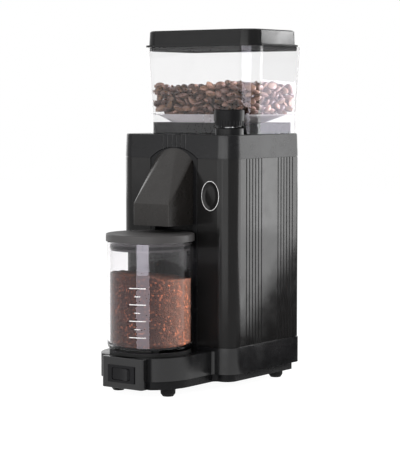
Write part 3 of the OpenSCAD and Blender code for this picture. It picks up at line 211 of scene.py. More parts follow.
HOPPER = ("hopper", "hopper_lid", "hopper_seat", "hopper_funnel")
JAR = ("jar", "coffee_grounds", "level_marks")
LILAC = (0.93, 0.88, 1.0)
SKY = (0.86, 0.95, 1.0)
ICE = (0.8, 0.84, 1.0)
AMBER = (1.0, 0.78, 0.6)

# Some lamps stand in one upright plane, 0.3 m from the place that the camera sees mirrored in the right side.
SIDE_ORIGIN = Vector((0.239, 0.245, 0.231))
SIDE_ACROSS = Vector((-0.818, 0.5746, 0.0))
SIDE_AWAY = Vector((0.1724, 0.2454, -0.0069))

# Across the plane is positive to the rear, and height is above the floor.
SIDE_LAMPS = {
    "side_sheen": dict(
        across=0.0054, height=0.2236, size=(0.373, 0.202), radiance=6.6, spin=59.3, without=HOPPER + JAR
    ),
    "side_core": dict(across=0.0238, height=0.23, size=(0.034, 0.2), radiance=3.0, without=HOPPER + JAR),
    "lid_side": dict(across=0.061, height=0.41, size=(0.078, 0.13), radiance=20.0, only=("hopper_lid",)),
    "hopper_side": dict(
        across=0.061, height=0.225, size=(0.078, 0.11), radiance=9.0, tint=LILAC, only=("hopper",)
    ),
    "hopper_corner": dict(across=-0.076, height=0.26, size=(0.168, 0.2), radiance=11.0, only=("hopper",)),
    "bean_side": dict(
        across=-0.04, height=0.34, size=(0.07, 0.07), radiance=420.0, tint=ICE, only=("coffee_beans",)
    ),
    "seat_side": dict(
        across=0.061, height=0.24, size=(0.078, 0.06), radiance=33.0, tint=SKY, only=("hopper_seat",)
    ),
}

LAMPS = {
    "bean_front": dict(
        place=around(-20, 0.6, 0.5), aim=(0.0, 0.0, 0.27), size=(0.1, 0.1), radiance=60.0,
        only=("coffee_beans",),
    ),
    "rear": dict(place=around(180, 1.3, 0.55), aim=(0.0, 0.0, 0.15), size=(0.9, 0.9), radiance=3.0),
    "left": dict(
        place=around(-105, 1.3, 0.5), aim=(0.0, 0.0, 0.15), size=(0.8, 0.8), radiance=2.0,
        without=("hopper_lid",),
    ),
    "front_left": dict(
        place=(-0.56, -0.745, 0.325), aim=(-0.02, -0.02, 0.32), size=(0.35, 0.38), radiance=1.5
    ),
    "front_near": dict(
        place=around(-8, 0.62, 0.32), aim=(0.03, 0.0, 0.32), size=(0.4, 0.44), radiance=2.5, without=HOPPER
    ),
    "front_right": dict(
        place=around(26, 0.62, 0.26), aim=(0.03, 0.0, 0.26), size=(0.46, 0.5), radiance=3.0,
        without=("jar",) + HOPPER,
    ),
    "lid_front": dict(
        place=around(10, 0.6, 0.28), aim=(0.04, 0.0, 0.32), size=(0.7, 0.3), radiance=5.0,
        only=("hopper_lid",),
    ),
    "hopper_front": dict(
        place=around(23, 0.6, 0.24), aim=(0.04, 0.0, 0.28), size=(0.62, 0.3), radiance=13.0, tint=LILAC,
        only=("hopper",),
    ),
    "cap_strip": dict(
        place=around(13, 0.55, 0.25), aim=(0.04, 0.0, 0.25), size=(0.7, 0.07), radiance=12.0, only=("cap",)
    ),
    "jar_band": dict(
        place=(0.09, -0.31, 0.13), aim=(0.0, -0.062, 0.13), size=(0.16, 0.26), radiance=9.0, tint=LILAC,
        only=("jar",),
    ),
    "jar_band_high": dict(
        place=(0.0895, -0.3085, 0.15), aim=(0.0, -0.062, 0.15), size=(0.13, 0.12), radiance=13.0, tint=LILAC,
        only=("jar",),
    ),
    "jar_side": dict(
        place=(0.23, 0.13, 0.14), aim=(0.0, -0.062, 0.07), size=(0.1, 0.2), radiance=110.0, tint=AMBER,
        only=("coffee_grounds",),
    ),
    "chute_light": dict(place=(-0.535, -0.33, 0.853), aim=(0.0, -0.03, 0.2), size=(0.4, 0.4), radiance=1.2),
    "top": dict(place=(0.0, -0.2, 1.7), aim=(0.0, 0.0, 0.2), size=(1.2, 1.2), radiance=1.4),
}

CARD_TONES = [(0.3, (0.003, 0.003, 0.003)), (0.7, (0.005, 0.005, 0.005))]
CARD_MOTTLE = 0.05
SIDE_CARD_ACROSS, SIDE_CARD_AWAY = 0.035, 0.02
LOW_CARD_PLACE = Vector((0.22, 0.25, 0.004))
LOW_CARD_SIZE = (0.26, 0.4)
SIDE_CARD_SIZE = (0.19, 0.5)
SIDE_CARD_PLACE = SIDE_ORIGIN + SIDE_ACROSS * SIDE_CARD_ACROSS + SIDE_AWAY * SIDE_CARD_AWAY


def make_cards():
    """Dark cards on the floor and behind the side lamps, which keep the dark reflections dark."""
    black = Paint("card_black", 0.9, 0.0)
    black.colour(black.ramp(black.noise(CARD_MOTTLE), CARD_TONES))
    above = LOW_CARD_PLACE + Vector((0.0, 0.0, 1.0))
    dark_card("card_low", LOW_CARD_PLACE, above, LOW_CARD_SIZE, black.material)
    dark_card("card_side", SIDE_CARD_PLACE, SIDE_CARD_PLACE - SIDE_AWAY, SIDE_CARD_SIZE, black.material)


def make_lights():
    for name, lamp in SIDE_LAMPS.items():
        values = dict(lamp)
        place = SIDE_ORIGIN + SIDE_ACROSS * values.pop("across")
        place.z = values.pop("height")
        soft_box(name, place, place - SIDE_AWAY, **values)
    for name, lamp in LAMPS.items():
        soft_box(name, **lamp)


# ---------------------------------------------------------------- materials

# Most of a noise lies between these values.
NOISE_LOW, NOISE_HIGH = 0.3, 0.7

# Sockets of a Mix node for colours; it has three more kinds with the same names.
MIX_SHARE, MIX_FIRST, MIX_SECOND, MIX_RESULT = 0, 6, 7, 2

# The edge mask for edges painted paler, as wear and as a painted highlight, is full at the first dot product
# of bevelled and true normals and nil at the second.
EDGE_SAMPLES = 4
EDGE_MARK_FULL, EDGE_FLAT = 0.86, 0.99
TOP_FROM, TOP_TO = 0.7, 0.98


class Paint:
    """A node material with one Principled shader and short helpers for its procedural inputs."""

    def __init__(self, name, roughness=0.5, specular=0.5, metallic=0.0):
        self.material = bpy.data.materials.new(name)
        self.material.use_nodes = True
        self.nodes = self.material.node_tree.nodes
        self.links = self.material.node_tree.links
        self.nodes.clear()
        self.out = self.nodes.new("ShaderNodeOutputMaterial")
        self.shader = self.nodes.new("ShaderNodeBsdfPrincipled")
        self.shader.inputs["Roughness"].default_value = roughness
        self.shader.inputs["Specular IOR Level"].default_value = specular
        self.shader.inputs["Metallic"].default_value = metallic
        self.links.new(self.shader.outputs[0], self.out.inputs["Surface"])
        self.place = self.nodes.new("ShaderNodeTexCoord").outputs["Object"]

    def noise(self, size, detail=3.0, stretch=None):
        """Noise whose features are about size metres across."""
        node = self.nodes.new("ShaderNodeTexNoise")
        node.inputs["Scale"].default_value = 1.0 / size
        node.inputs["Detail"].default_value = detail
        source = self.place
        if stretch:
            mapping = self.nodes.new("ShaderNodeMapping")
            mapping.inputs["Scale"].default_value = stretch
            self.links.new(source, mapping.inputs["Vector"])
            source = mapping.outputs[0]
        self.links.new(source, node.inputs["Vector"])
        return node.outputs["Fac"]

    def cells(self, size, output="Distance"):
        """Cell pattern whose cells are about size metres across."""
        node = self.nodes.new("ShaderNodeTexVoronoi")
        node.inputs["Scale"].default_value = 1.0 / size
        self.links.new(self.place, node.inputs["Vector"])
        return node.outputs[output]

    def ramp(self, value, stops):
        """Colours at places along value."""
        node = self.nodes.new("ShaderNodeValToRGB")
        band = node.color_ramp
        while len(band.elements) < len(stops):
            band.elements.new(0.5)
        for element, (at, colour) in zip(band.elements, stops):
            element.position = at
            element.color = (*colour, 1)
        self.links.new(value, node.inputs["Fac"])
        return node.outputs["Color"]

    def span(self, value, low, high, at_low=NOISE_LOW, at_high=NOISE_HIGH):
        """value, from at_low to at_high, brought to low to high."""
        node = self.nodes.new("ShaderNodeMapRange")
        node.inputs["From Min"].default_value = at_low
        node.inputs["From Max"].default_value = at_high
        node.inputs["To Min"].default_value = low
        node.inputs["To Max"].default_value = high
        self.links.new(value, node.inputs["Value"])
        return node.outputs["Result"]

    def times(self, first, second):
        return maths(self.nodes, self.links, "MULTIPLY", first, second)

    def mix(self, share, first, second):
        """Colour mix; share, first and second are sockets, numbers or colours."""
        node = self.nodes.new("ShaderNodeMix")
        node.data_type = "RGBA"
        for index, value in ((MIX_SHARE, share), (MIX_FIRST, first), (MIX_SECOND, second)):
            if isinstance(value, bpy.types.NodeSocket):
                self.links.new(value, node.inputs[index])
            elif isinstance(value, (int, float)):
                node.inputs[index].default_value = value
            else:
                node.inputs[index].default_value = (*value, 1)
        return node.outputs[MIX_RESULT]

    def attribute(self, name):
        """A value stored on the mesh."""
        node = self.nodes.new("ShaderNodeAttribute")
        node.attribute_name = name
        return node.outputs["Fac"]

    def colour(self, source):
        self.links.new(source, self.shader.inputs["Base Color"])

    def rough(self, source):
        self.links.new(source, self.shader.inputs["Roughness"])

    def bump(self, height, depth, strength=1.0):
        """Adds a bump of depth metres on top of the bumps already there."""
        node = self.nodes.new("ShaderNodeBump")
        node.inputs["Strength"].default_value = strength
        node.inputs["Distance"].default_value = depth
        self.links.new(height, node.inputs["Height"])
        socket = self.shader.inputs["Normal"]
        if socket.is_linked:
            self.links.new(socket.links[0].from_socket, node.inputs["Normal"])
        self.links.new(node.outputs[0], socket)

    def edges(self, radius):
        """1 on round edges, which are painted paler as wear and as a painted highlight, 0 on flat faces."""
        bevel = self.nodes.new("ShaderNodeBevel")
        bevel.samples = EDGE_SAMPLES
        bevel.inputs["Radius"].default_value = radius
        geometry = self.nodes.new("ShaderNodeNewGeometry")
        dot = self.nodes.new("ShaderNodeVectorMath")
        dot.operation = "DOT_PRODUCT"
        self.links.new(bevel.outputs[0], dot.inputs[0])
        self.links.new(geometry.outputs["Normal"], dot.inputs[1])
        return self.span(dot.outputs["Value"], 1.0, 0.0, EDGE_MARK_FULL, EDGE_FLAT)

    def upward(self, source, value):
        """source on the sides, and value on faces that look up."""
        geometry = self.nodes.new("ShaderNodeNewGeometry")
        split = self.nodes.new("ShaderNodeSeparateXYZ")
        self.links.new(geometry.outputs["Normal"], split.inputs[0])
        mix = self.nodes.new("ShaderNodeMix")
        self.links.new(self.span(split.outputs["Z"], 0.0, 1.0, TOP_FROM, TOP_TO), mix.inputs["Factor"])
        self.links.new(source, mix.inputs["A"])
        mix.inputs["B"].default_value = value
        return mix.outputs["Result"]


BLOTCH_SIZE = 0.035
# Patches that break up the paler edge paint, which is partly wear and partly a painted highlight.
EDGE_WEAR_AND_HIGHLIGHT_PATCH_SIZE = 0.004
EDGE_WEAR_AND_HIGHLIGHT_PATCH_SHARE = (0.3, 1.0)
GLOSS_SIZE = 0.012
GLOSS_CHANGE = (-0.05, 0.06)
SPECK_SHARE = (0.0, 0.35, 0.56, 0.75)
SPECK_GAIN, SPECK_LIFT = 1.9, 0.002
# Edges painted paler: partly wear, partly a painted highlight where edges catch the light.
EDGE_WEAR_AND_HIGHLIGHT_RADIUS = 0.6 * MM
EDGE_WEAR_AND_HIGHLIGHT_GAIN, EDGE_WEAR_AND_HIGHLIGHT_LIFT = 2.6, 0.004
GRAIN_BUMP, BLOTCH_BUMP, BLOTCH_DEPTH = 0.7, 0.3, 0.6


def lit(colour, gain, lift=0.0):
    return tuple(c * gain + lift for c in colour)


def moulded(name, colour, gloss, grain, edge=0.35, blotch=0.12, top=None):
    """Moulded plastic or satin enamel: a fine grain, slow blotches in tone and gloss, and edges painted paler
    as wear and as a painted highlight.

    gloss is the roughness and the specular level, and grain its size and depth in millimetres. edge is how
    much the edges are painted paler, as wear and as a painted highlight, blotch how much the tone drifts, and
    top the roughness of upward faces if it differs.
    """
    roughness, specular = gloss
    size, depth = grain[0] * MM, grain[1] * MM
    paint = Paint(name, roughness, specular)
    slow = paint.noise(BLOTCH_SIZE, 2)
    fine = paint.noise(size, 4)
    body = paint.ramp(slow, [(NOISE_LOW, lit(colour, 1 - blotch)), (NOISE_HIGH, lit(colour, 1 + blotch))])
    body = paint.mix(paint.span(fine, *SPECK_SHARE), body, lit(colour, SPECK_GAIN, SPECK_LIFT))
    # Paler edges in patches: partly wear, partly a painted highlight of the edges.
    edge_wear_and_highlight_patches = paint.span(paint.noise(EDGE_WEAR_AND_HIGHLIGHT_PATCH_SIZE, 3), *EDGE_WEAR_AND_HIGHLIGHT_PATCH_SHARE)
    edge_wear_and_highlight = paint.times(paint.times(paint.edges(EDGE_WEAR_AND_HIGHLIGHT_RADIUS), edge_wear_and_highlight_patches), edge)
    paint.colour(paint.mix(edge_wear_and_highlight, body, lit(colour, EDGE_WEAR_AND_HIGHLIGHT_GAIN, EDGE_WEAR_AND_HIGHLIGHT_LIFT)))
    least, most = (roughness + change for change in GLOSS_CHANGE)
    dull = paint.span(paint.noise(GLOSS_SIZE, 4), least, most)
    paint.rough(dull if top is None else paint.upward(dull, top))
    paint.bump(fine, depth, GRAIN_BUMP)
    paint.bump(slow, depth * BLOTCH_DEPTH, BLOTCH_BUMP)
    return paint.material


PATCH_SIZE = 0.02
PATCH_TONE = 0.78
MARKS_CHANGE = (-0.08, 0.12)
MARKS_DEPTH, MARKS_BUMP = 0.02 * MM, 0.5


def metal(name, colour, roughness, brushed=(1, 1, 14), scratch=0.0006):
    """Machined or plated metal with fine tool marks and dull patches."""
    paint = Paint(name, roughness, 0.5, 1.0)
    marks = paint.noise(scratch, 3, brushed)
    patches = paint.noise(PATCH_SIZE, 3)
    paint.colour(paint.mix(paint.span(patches, 0.0, 1.0), lit(colour, PATCH_TONE), colour))
    least, most = (roughness + change for change in MARKS_CHANGE)
    paint.rough(paint.span(marks, least, most))
    paint.bump(marks, MARKS_DEPTH, MARKS_BUMP)
    return paint.material


HAZE_SIZE = 0.03
HAZE_TONE = 0.985
SMEAR_SIZE = 0.015
SMEAR_ROUGHNESS = (0.6, 1.5)
WAVE_SIZE = 0.02
WAVE_DEPTH, WAVE_BUMP = 0.03 * MM, 0.25


def glassy(name, tint, index, roughness, clearness=1.0):
    """Clear moulding or glass. It lets lamps through, so that what is inside is lit."""
    paint = Paint(name, roughness)
    paint.shader.inputs["Transmission Weight"].default_value = clearness
    paint.shader.inputs["IOR"].default_value = index
    haze = [(NOISE_LOW, lit(tint, HAZE_TONE)), (NOISE_HIGH, tint)]
    paint.colour(paint.ramp(paint.noise(HAZE_SIZE, 3), haze))
    least, most = (roughness * change for change in SMEAR_ROUGHNESS)
    paint.rough(paint.span(paint.noise(SMEAR_SIZE, 3), least, most))
    paint.bump(paint.noise(WAVE_SIZE, 2), WAVE_DEPTH, WAVE_BUMP)
    path = paint.nodes.new("ShaderNodeLightPath")
    clear = paint.nodes.new("ShaderNodeBsdfTransparent")
    clear.inputs["Color"].default_value = (*lit(tint, 0.5, 0.5), 1)
    shadow_ray = path.outputs["Is Shadow Ray"]
    surface = blend(paint.nodes, paint.links, shadow_ray, paint.shader.outputs[0], clear.outputs[0])
    paint.links.new(surface, paint.out.inputs["Surface"])
    return paint.material


BEAN_TONES = [
    (0.0, (0.026, 0.013, 0.011)),
    (0.35, (0.075, 0.040, 0.032)),
    (0.7, (0.15, 0.085, 0.066)),
    (1.0, (0.28, 0.16, 0.11)),
]
BEAN_CHAR = (0.016, 0.008, 0.005)
BEAN_CHAFF = (0.20, 0.12, 0.065)
GROUNDS_TONES = [
    (0.0, (0.006, 0.002, 0.002)),
    (0.5, (0.022, 0.007, 0.005)),
    (0.78, (0.06, 0.017, 0.009)),
    (0.9, (0.30, 0.10, 0.05)),
]
GROUNDS_DARK = (0.022, 0.008, 0.006)
INK_TONES = [(0.3, (0.62, 0.61, 0.61)), (0.6, (0.88, 0.87, 0.87))]


def bean_skin():
    """Roasted bean: each bean has its own tone, with a chaff-pale groove and an oily, mottled skin."""
    paint = Paint("bean_skin", 0.3)
    body = paint.ramp(paint.attribute("tone"), BEAN_TONES)
    mottle = paint.noise(1.6 * MM, 3)
    dark = paint.mix(paint.span(mottle, 0.0, 0.5, 0.45, 0.75), body, BEAN_CHAR)
    paint.colour(paint.mix(paint.attribute("groove"), dark, BEAN_CHAFF))
    paint.rough(paint.span(paint.noise(2.5 * MM, 3), 0.16, 0.34))
    paint.bump(paint.noise(0.7 * MM, 3), 0.08 * MM, 0.6)
    return paint.material


def ground_coffee():
    """Ground coffee: granules of mixed roast with dark gaps between them."""
    paint = Paint("ground_coffee", 0.8, 0.25)
    body = paint.ramp(paint.cells(1.15 * MM, "Color"), GROUNDS_TONES)
    slow = paint.noise(9 * MM, 3)
    paint.colour(paint.mix(paint.span(slow, 0.0, 0.45), body, GROUNDS_DARK))
    paint.rough(paint.span(paint.noise(1.5 * MM, 2), 0.7, 0.95))
    paint.bump(paint.cells(0.9 * MM), 0.5 * MM, 0.9)
    return paint.material


def mark_ink():
    """White printed marks, thinned by wear in places."""
    paint = Paint("mark_ink", 0.5, 0.4)
    paint.colour(paint.ramp(paint.noise(1.2 * MM, 4), INK_TONES))
    paint.rough(paint.span(paint.noise(2 * MM, 2), 0.4, 0.65))
    paint.bump(paint.noise(0.5 * MM, 3), 0.01 * MM, 0.5)
    return paint.material


def make_materials():
    """One material for each slot of the record."""
    return {
        "black_cast": moulded("enamel_cast", (0.0062, 0.0062, 0.0066), gloss=(0.2, 0.42), grain=(0.9, 0.02)),
        "black_housing": moulded(
            "enamel_housing", (0.0075, 0.0072, 0.0072), gloss=(0.15, 0.14), grain=(0.5, 0.012)
        ),
        "black_moulding": moulded(
            "moulding_black", (0.0055, 0.0055, 0.006), gloss=(0.26, 0.1), grain=(0.6, 0.02)
        ),
        "switch_black": moulded(
            "moulding_gloss", (0.006, 0.006, 0.0068), gloss=(0.22, 0.12), grain=(0.8, 0.008)
        ),
        "rubber": moulded("rubber_black", (0.007, 0.007, 0.007), gloss=(0.75, 0.2), grain=(0.7, 0.05)),
        "lid_grey": moulded(
            "moulding_grey", (0.042, 0.04, 0.04), gloss=(0.5, 0.22), grain=(0.45, 0.04), edge=0.2
        ),
        "clear_plastic": glassy("clear_plastic", (0.95, 0.948, 0.95), index=1.25, roughness=0.02),
        "jar_glass": glassy("jar_glass", (0.955, 0.945, 0.955), index=1.28, roughness=0.01),
        "steel": metal("steel", (0.62, 0.62, 0.63), 0.28),
        "zinc_plate": metal("zinc_plate", (0.56, 0.57, 0.58), 0.38, brushed=(1, 1, 1), scratch=0.002),
        "bronze": metal("bronze", (0.52, 0.38, 0.2), 0.42, brushed=(1, 1, 1), scratch=0.0012),
        "nylon": moulded(
            "nylon", (0.62, 0.60, 0.53), gloss=(0.45, 0.5), grain=(0.8, 0.02), edge=0.1, blotch=0.05
        ),
        "copper": metal("copper", (0.62, 0.27, 0.12), 0.3, brushed=(1, 1, 20), scratch=0.0005),
        "magnet": moulded("ferrite", (0.05, 0.052, 0.056), gloss=(0.6, 0.4), grain=(0.7, 0.05)),
        "board_green": moulded("board_green", (0.03, 0.12, 0.06), gloss=(0.35, 0.5), grain=(1.4, 0.02)),
    }


def make_finishes():
    """Finishes of single nodes, where the picture shows more than the record's slot says."""
    return {
        "cap": moulded("enamel_cap", (0.006, 0.006, 0.0065), gloss=(0.24, 0.11), grain=(0.55, 0.035)),
        "chute": moulded("moulding_chute", (0.014, 0.0125, 0.0115), gloss=(0.28, 0.2), grain=(0.6, 0.015)),
        "hopper_lid": moulded(
            "moulding_lid", (0.007, 0.007, 0.0072), gloss=(0.2, 0.14), grain=(0.9, 0.006), top=0.65
        ),
        "hopper_seat": moulded("moulding_seat", (0.0075, 0.0075, 0.008), gloss=(0.3, 0.1), grain=(0.6, 0.01)),
        "hopper_funnel": glassy(
            "funnel_frosted", (0.9, 0.88, 0.89), index=1.35, roughness=0.4, clearness=0.6
        ),
        "knob": moulded("moulding_knob", (0.007, 0.007, 0.0075), gloss=(0.32, 0.06), grain=(0.6, 0.012)),
    }


# ---------------------------------------------------------------- CAD nodes

# How far each node's sharp edges are rounded, in millimetres. The housing's shell and the rear cover are left
# out, because merging the faces around their openings tears them.
BEVELS = {
    "base_tub": 1.2,
    "base_plate": 0.8,
    "switch_panel": 1.2,
    "switch_body": 0.4,
    "switch_rocker": 0.5,
    "chute_frame": 0.5,
    "chute": 0.5,
    "cap": 0.5,
    "hopper_seat": 0.8,
    "knob_collar": 0.4,
    "hopper_lid": 0.5,
    "jar_pad": 0.4,
    "rubber_feet": 0.5,
    "cord_gland": 0.4,
}
BEVEL_SEGMENTS = 3
SHARP_ANGLE = 32
FLAT_ANGLE = 0.6
WELD_GAP = 0.001
NORMAL_WEIGHT = 80


def drop_imported_normals(mesh):
    normals = mesh.attributes.get("custom_normal")
    if normals:
        mesh.attributes.remove(normals)
    for face in mesh.polygons:
        face.use_smooth = True


def soften_edges(node, width):
    """Rounds a CAD node's sharp edges by width, with modifiers alone."""
    drop_imported_normals(node.data)
    weld = node.modifiers.new("weld", "WELD")
    weld.merge_threshold = WELD_GAP * MM
    flat = node.modifiers.new("flat", "DECIMATE")
    flat.decimate_type = "DISSOLVE"
    flat.angle_limit = math.radians(FLAT_ANGLE)
    bevel = node.modifiers.new("bevel", "BEVEL")
    bevel.width = width * MM
    bevel.segments = BEVEL_SEGMENTS
    bevel.limit_method = "ANGLE"
    bevel.angle_limit = math.radians(SHARP_ANGLE)
    bevel.miter_outer = "MITER_ARC"
    normals = node.modifiers.new("normals", "WEIGHTED_NORMAL")
    normals.weight = NORMAL_WEIGHT
    normals.keep_sharp = False


def dress_nodes(materials, finishes):
    slots = {part["node"]: part["material_slot"] for part in frame["record"]["subparts"]}
    for name, node in frame["nodes"].items():
        node.data.materials.clear()
        node.data.materials.append(finishes.get(name) or materials[slots[name]])
        if name in BEVELS:
            soften_edges(node, BEVELS[name])


# ---------------------------------------------------------------- pieces


def low(node):
    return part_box(node)[0]


def high(node):
    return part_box(node)[1]


def add_piece(name, mesh, body, materials):
    piece = bpy.data.objects.new(name, mesh)
    bpy.context.scene.collection.objects.link(piece)
    for material in materials:
        mesh.materials.append(material)
    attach(piece, body)
    return piece


def closed_rings(rings, count, ending):
    """Faces of a shape that starts in point 0, runs over rings of count points, and ends in point ending."""
    faces = []
    for step in range(count):
        after = (step + 1) % count
        faces.append((0, 1 + after, 1 + step))
        for ring in range(rings - 1):
            a = 1 + ring * count
            b = a + count
            faces.append((a + step, a + after, b + after, b + step))
        last = 1 + (rings - 1) * count
        faces.append((last + step, last + after, ending))
    return faces


# ---------------------------------------------------------------- coffee beans

# Sizes of the clear hopper in millimetres, as the CAD part has them.
WALL = 1.8
FLOOR_UP = 20.4
FLARE = 3.5
FRONT_RADIUS = 15.0
REAR_RADIUS = 6.0
THROAT_RADIUS = 15.4
FUNNEL_DROP = 21.4
FUNNEL_INSET = 8.4
FUNNEL_LIP = 2.0
BURR_DEPTH = 64.0

# A bean's half sizes, the round space that it gets in the pile, and what it keeps from the walls.
BEAN = (5.3, 3.75, 2.9)
BEAN_SUPPORT = 3.55
BEAN_GAP = 0.35
BEAN_OFF_WALL = 2.6

# The pile's level over the hopper's floor. It is full when many tries in a row find no lower place.
BEAN_LEVEL = 27.0
BEAN_SINK = 1.0
BEAN_SEED = 11
PLACES_TRIED = 14
MISSES_ALLOWED = 90

# A bean's rings of points, and its flatter side with the groove.
BEAN_RINGS = 8
BEAN_AROUND = 12
BEAN_BELLY = 0.55
GROOVE_WIDTH = 0.42
GROOVE_DEPTH = 0.9
GROOVE_TONE = 0.85

# Spread of a bean's tip and roll in radians, the range of its size, and its roast's mean and spread.
BEAN_TIP = 0.5
BEAN_ROLL = 0.7
BEAN_SIZES = (0.9, 1.1)
BEAN_ROAST = (0.45, 0.24)

# The pile's surface has one wave across and one along, with these heights and lengths in millimetres.
WAVE_ACROSS = (2.2, 19.0)
WAVE_ALONG = (1.6, 13.0)
WAVE_START = 0.6
WAVE_SKEW = 31.0

SMALLEST_RADIUS = 1.0
SHORTEST_SLOPE = 0.1
TINY = 1e-6


class Bin:
    """Inner space of the clear hopper, in millimetres, with the origin on the housing's front face."""

    def __init__(self):
        self.shift = low("housing_shell")[1] / MM
        self.floor = low("hopper")[2] / MM + FLOOR_UP
        self.rim = high("hopper")[2] / MM
        self.half = high("hopper")[0] / MM - FLARE
        self.front = low("hopper")[1] / MM + FLARE - self.shift
        self.rear = high("hopper")[1] / MM - FLARE - self.shift
        self.funnel_low = self.floor - FUNNEL_DROP
        self.funnel_height = self.floor - FUNNEL_LIP - self.funnel_low

    def rect(self, z, gap):
        """Half width, front, rear and corner radii of the space at level z, drawn in by gap."""
        grow = FLARE * max(0.0, z - self.floor) / (self.rim - self.floor) - WALL - gap
        radii = (FRONT_RADIUS - WALL - gap, max(REAR_RADIUS - WALL - gap, SMALLEST_RADIUS))
        return self.half + grow, self.front - grow, self.rear + grow, radii

    def inside(self, x, y, z, gap):
        """The nearest place to x, y within the walls at level z."""
        half, front, rear, (front_radius, rear_radius) = self.rect(z, gap)
        radius = front_radius if y < (front + rear) / 2 else rear_radius
        core_x = max(-half + radius, min(half - radius, x))
        core_y = max(front + radius, min(rear - radius, y))
        away = math.hypot(x - core_x, y - core_y)
        if away > radius:
            x = core_x + (x - core_x) * radius / away
            y = core_y + (y - core_y) * radius / away
        return x, y

    def nudge(self, spots):
        """The move that brings a bean away from the walls without pressing it flat."""
        move = Vector((0.0, 0.0, 0.0))
        for spot in spots:
            x, y = self.inside(spot.x, spot.y, spot.z, BEAN_GAP)
            if abs(x - spot.x) > abs(move.x):
                move.x = x - spot.x
            if abs(y - spot.y) > abs(move.y):
                move.y = y - spot.y
        return move

    def reach(self, x, y):
        """Distance from the throat's axis to the funnel's upper edge in the direction of x, y."""
        half = self.half - FUNNEL_INSET
        side = y - BURR_DEPTH
        edge_y = (self.rear - FUNNEL_INSET if side > 0 else self.front + FUNNEL_INSET) - BURR_DEPTH
        share = TINY
        if abs(x) > TINY:
            share = max(share, abs(x) / half)
        if abs(side) > TINY:
            share = max(share, side / edge_y)
        return math.hypot(x, side) / share

    def ground(self, x, y):
        """Level that beans lie on at x, y: the floor's ledge, the funnel's slope, or the throat."""
        away = math.hypot(x, y - BURR_DEPTH)
        edge = self.reach(x, y)
        if away >= edge:
            return self.floor
        share = max(0.0, away - THROAT_RADIUS) / max(edge - THROAT_RADIUS, SHORTEST_SLOPE)
        return self.funnel_low + self.funnel_height * share

    def hold(self, x, y, z):
        """Brings a bean's vertex within the walls and above the floor and funnel."""
        x, y = self.inside(x, y, z, BEAN_GAP)
        if z >= self.floor + BEAN_GAP:
            return x, y, z
        ground = self.ground(x, y)
        if z >= ground + BEAN_GAP:
            return x, y, z
        if ground >= self.floor:
            return x, y, self.floor + BEAN_GAP
        rise = (z - self.funnel_low - BEAN_GAP) / self.funnel_height
        most = THROAT_RADIUS + (self.reach(x, y) - THROAT_RADIUS) * max(rise, 0.0) - BEAN_GAP
        away = math.hypot(x, y - BURR_DEPTH)
        if away > most:
            x *= most / away
            y = BURR_DEPTH + (y - BURR_DEPTH) * most / away
        return x, y, max(z, self.funnel_low + BEAN_GAP)


def pile_top(x, y):
    """How far the pile's surface swells above its mean level at x, y."""
    across = WAVE_ACROSS[0] * math.sin(x / WAVE_ACROSS[1] + WAVE_START)
    return across + WAVE_ALONG[0] * math.sin(y / WAVE_ALONG[1] + x / WAVE_SKEW)


def pile_beans(space, rng):
    """Drops round supports into the bin one by one, each at the lowest of some tried places."""
    cell = 2 * BEAN_SUPPORT
    grid = {}
    placed = []
    misses = 0
    while misses < MISSES_ALLOWED:
        best = None
        for _ in range(PLACES_TRIED):
            x = rng.uniform(-space.half, space.half)
            y = rng.uniform(space.front, space.rear)
            x, y = space.inside(x, y, space.floor, BEAN_OFF_WALL)
            z = space.ground(x, y) + BEAN_SUPPORT
            column, row = int(x // cell), int(y // cell)
            for i in (column - 1, column, column + 1):
                for j in (row - 1, row, row + 1):
                    for px, py, pz in grid.get((i, j), ()):
                        flat = (x - px) ** 2 + (y - py) ** 2
                        if flat < cell * cell:
                            z = max(z, pz + math.sqrt(cell * cell - flat))
            if best is None or z < best[2]:
                best = (x, y, z)
        x, y, z = best
        if z > space.floor + BEAN_LEVEL + pile_top(x, y) - BEAN_SINK:
            misses += 1
            continue
        misses = 0
        placed.append(best)
        grid.setdefault((int(x // cell), int(y // cell)), []).append(best)
    return placed


def bean_shape():
    """One bean about the origin: an ellipsoid with a flat, grooved side. Gives points, faces, groove."""
    points = [(-BEAN[0], 0, 0)]
    groove = [0.0]
    for ring in range(1, BEAN_RINGS):
        along = math.pi * ring / BEAN_RINGS
        for step in range(BEAN_AROUND):
            turn = FULL_TURN * (step + 0.5) / BEAN_AROUND
            x = -math.cos(along) * BEAN[0]
            y = math.sin(along) * math.cos(turn) * BEAN[1]
            z = math.sin(along) * math.sin(turn) * BEAN[2]
            near = max(0.0, 1 - abs(y) / (GROOVE_WIDTH * BEAN[1])) if z < 0 else 0.0
            if z < 0:
                z = z * BEAN_BELLY + GROOVE_DEPTH * near * math.sin(along)
            groove.append(GROOVE_TONE * near)
            points.append((x, y, z))
    points.append((BEAN[0], 0, 0))
    groove.append(0.0)
    return points, closed_rings(BEAN_RINGS - 1, BEAN_AROUND, len(points) - 1), groove


def bean_turn(rng):
    """A random lie: any way round, nearly level, on its back or belly."""
    tip = rng.gauss(0, BEAN_TIP)
    turn = Matrix.Rotation(rng.uniform(0, FULL_TURN), 3, "Z")
    turn = turn @ Matrix.Rotation(tip, 3, "Y")
    return turn @ Matrix.Rotation(rng.choice((0.0, math.pi)) + rng.gauss(0, BEAN_ROLL), 3, "X")


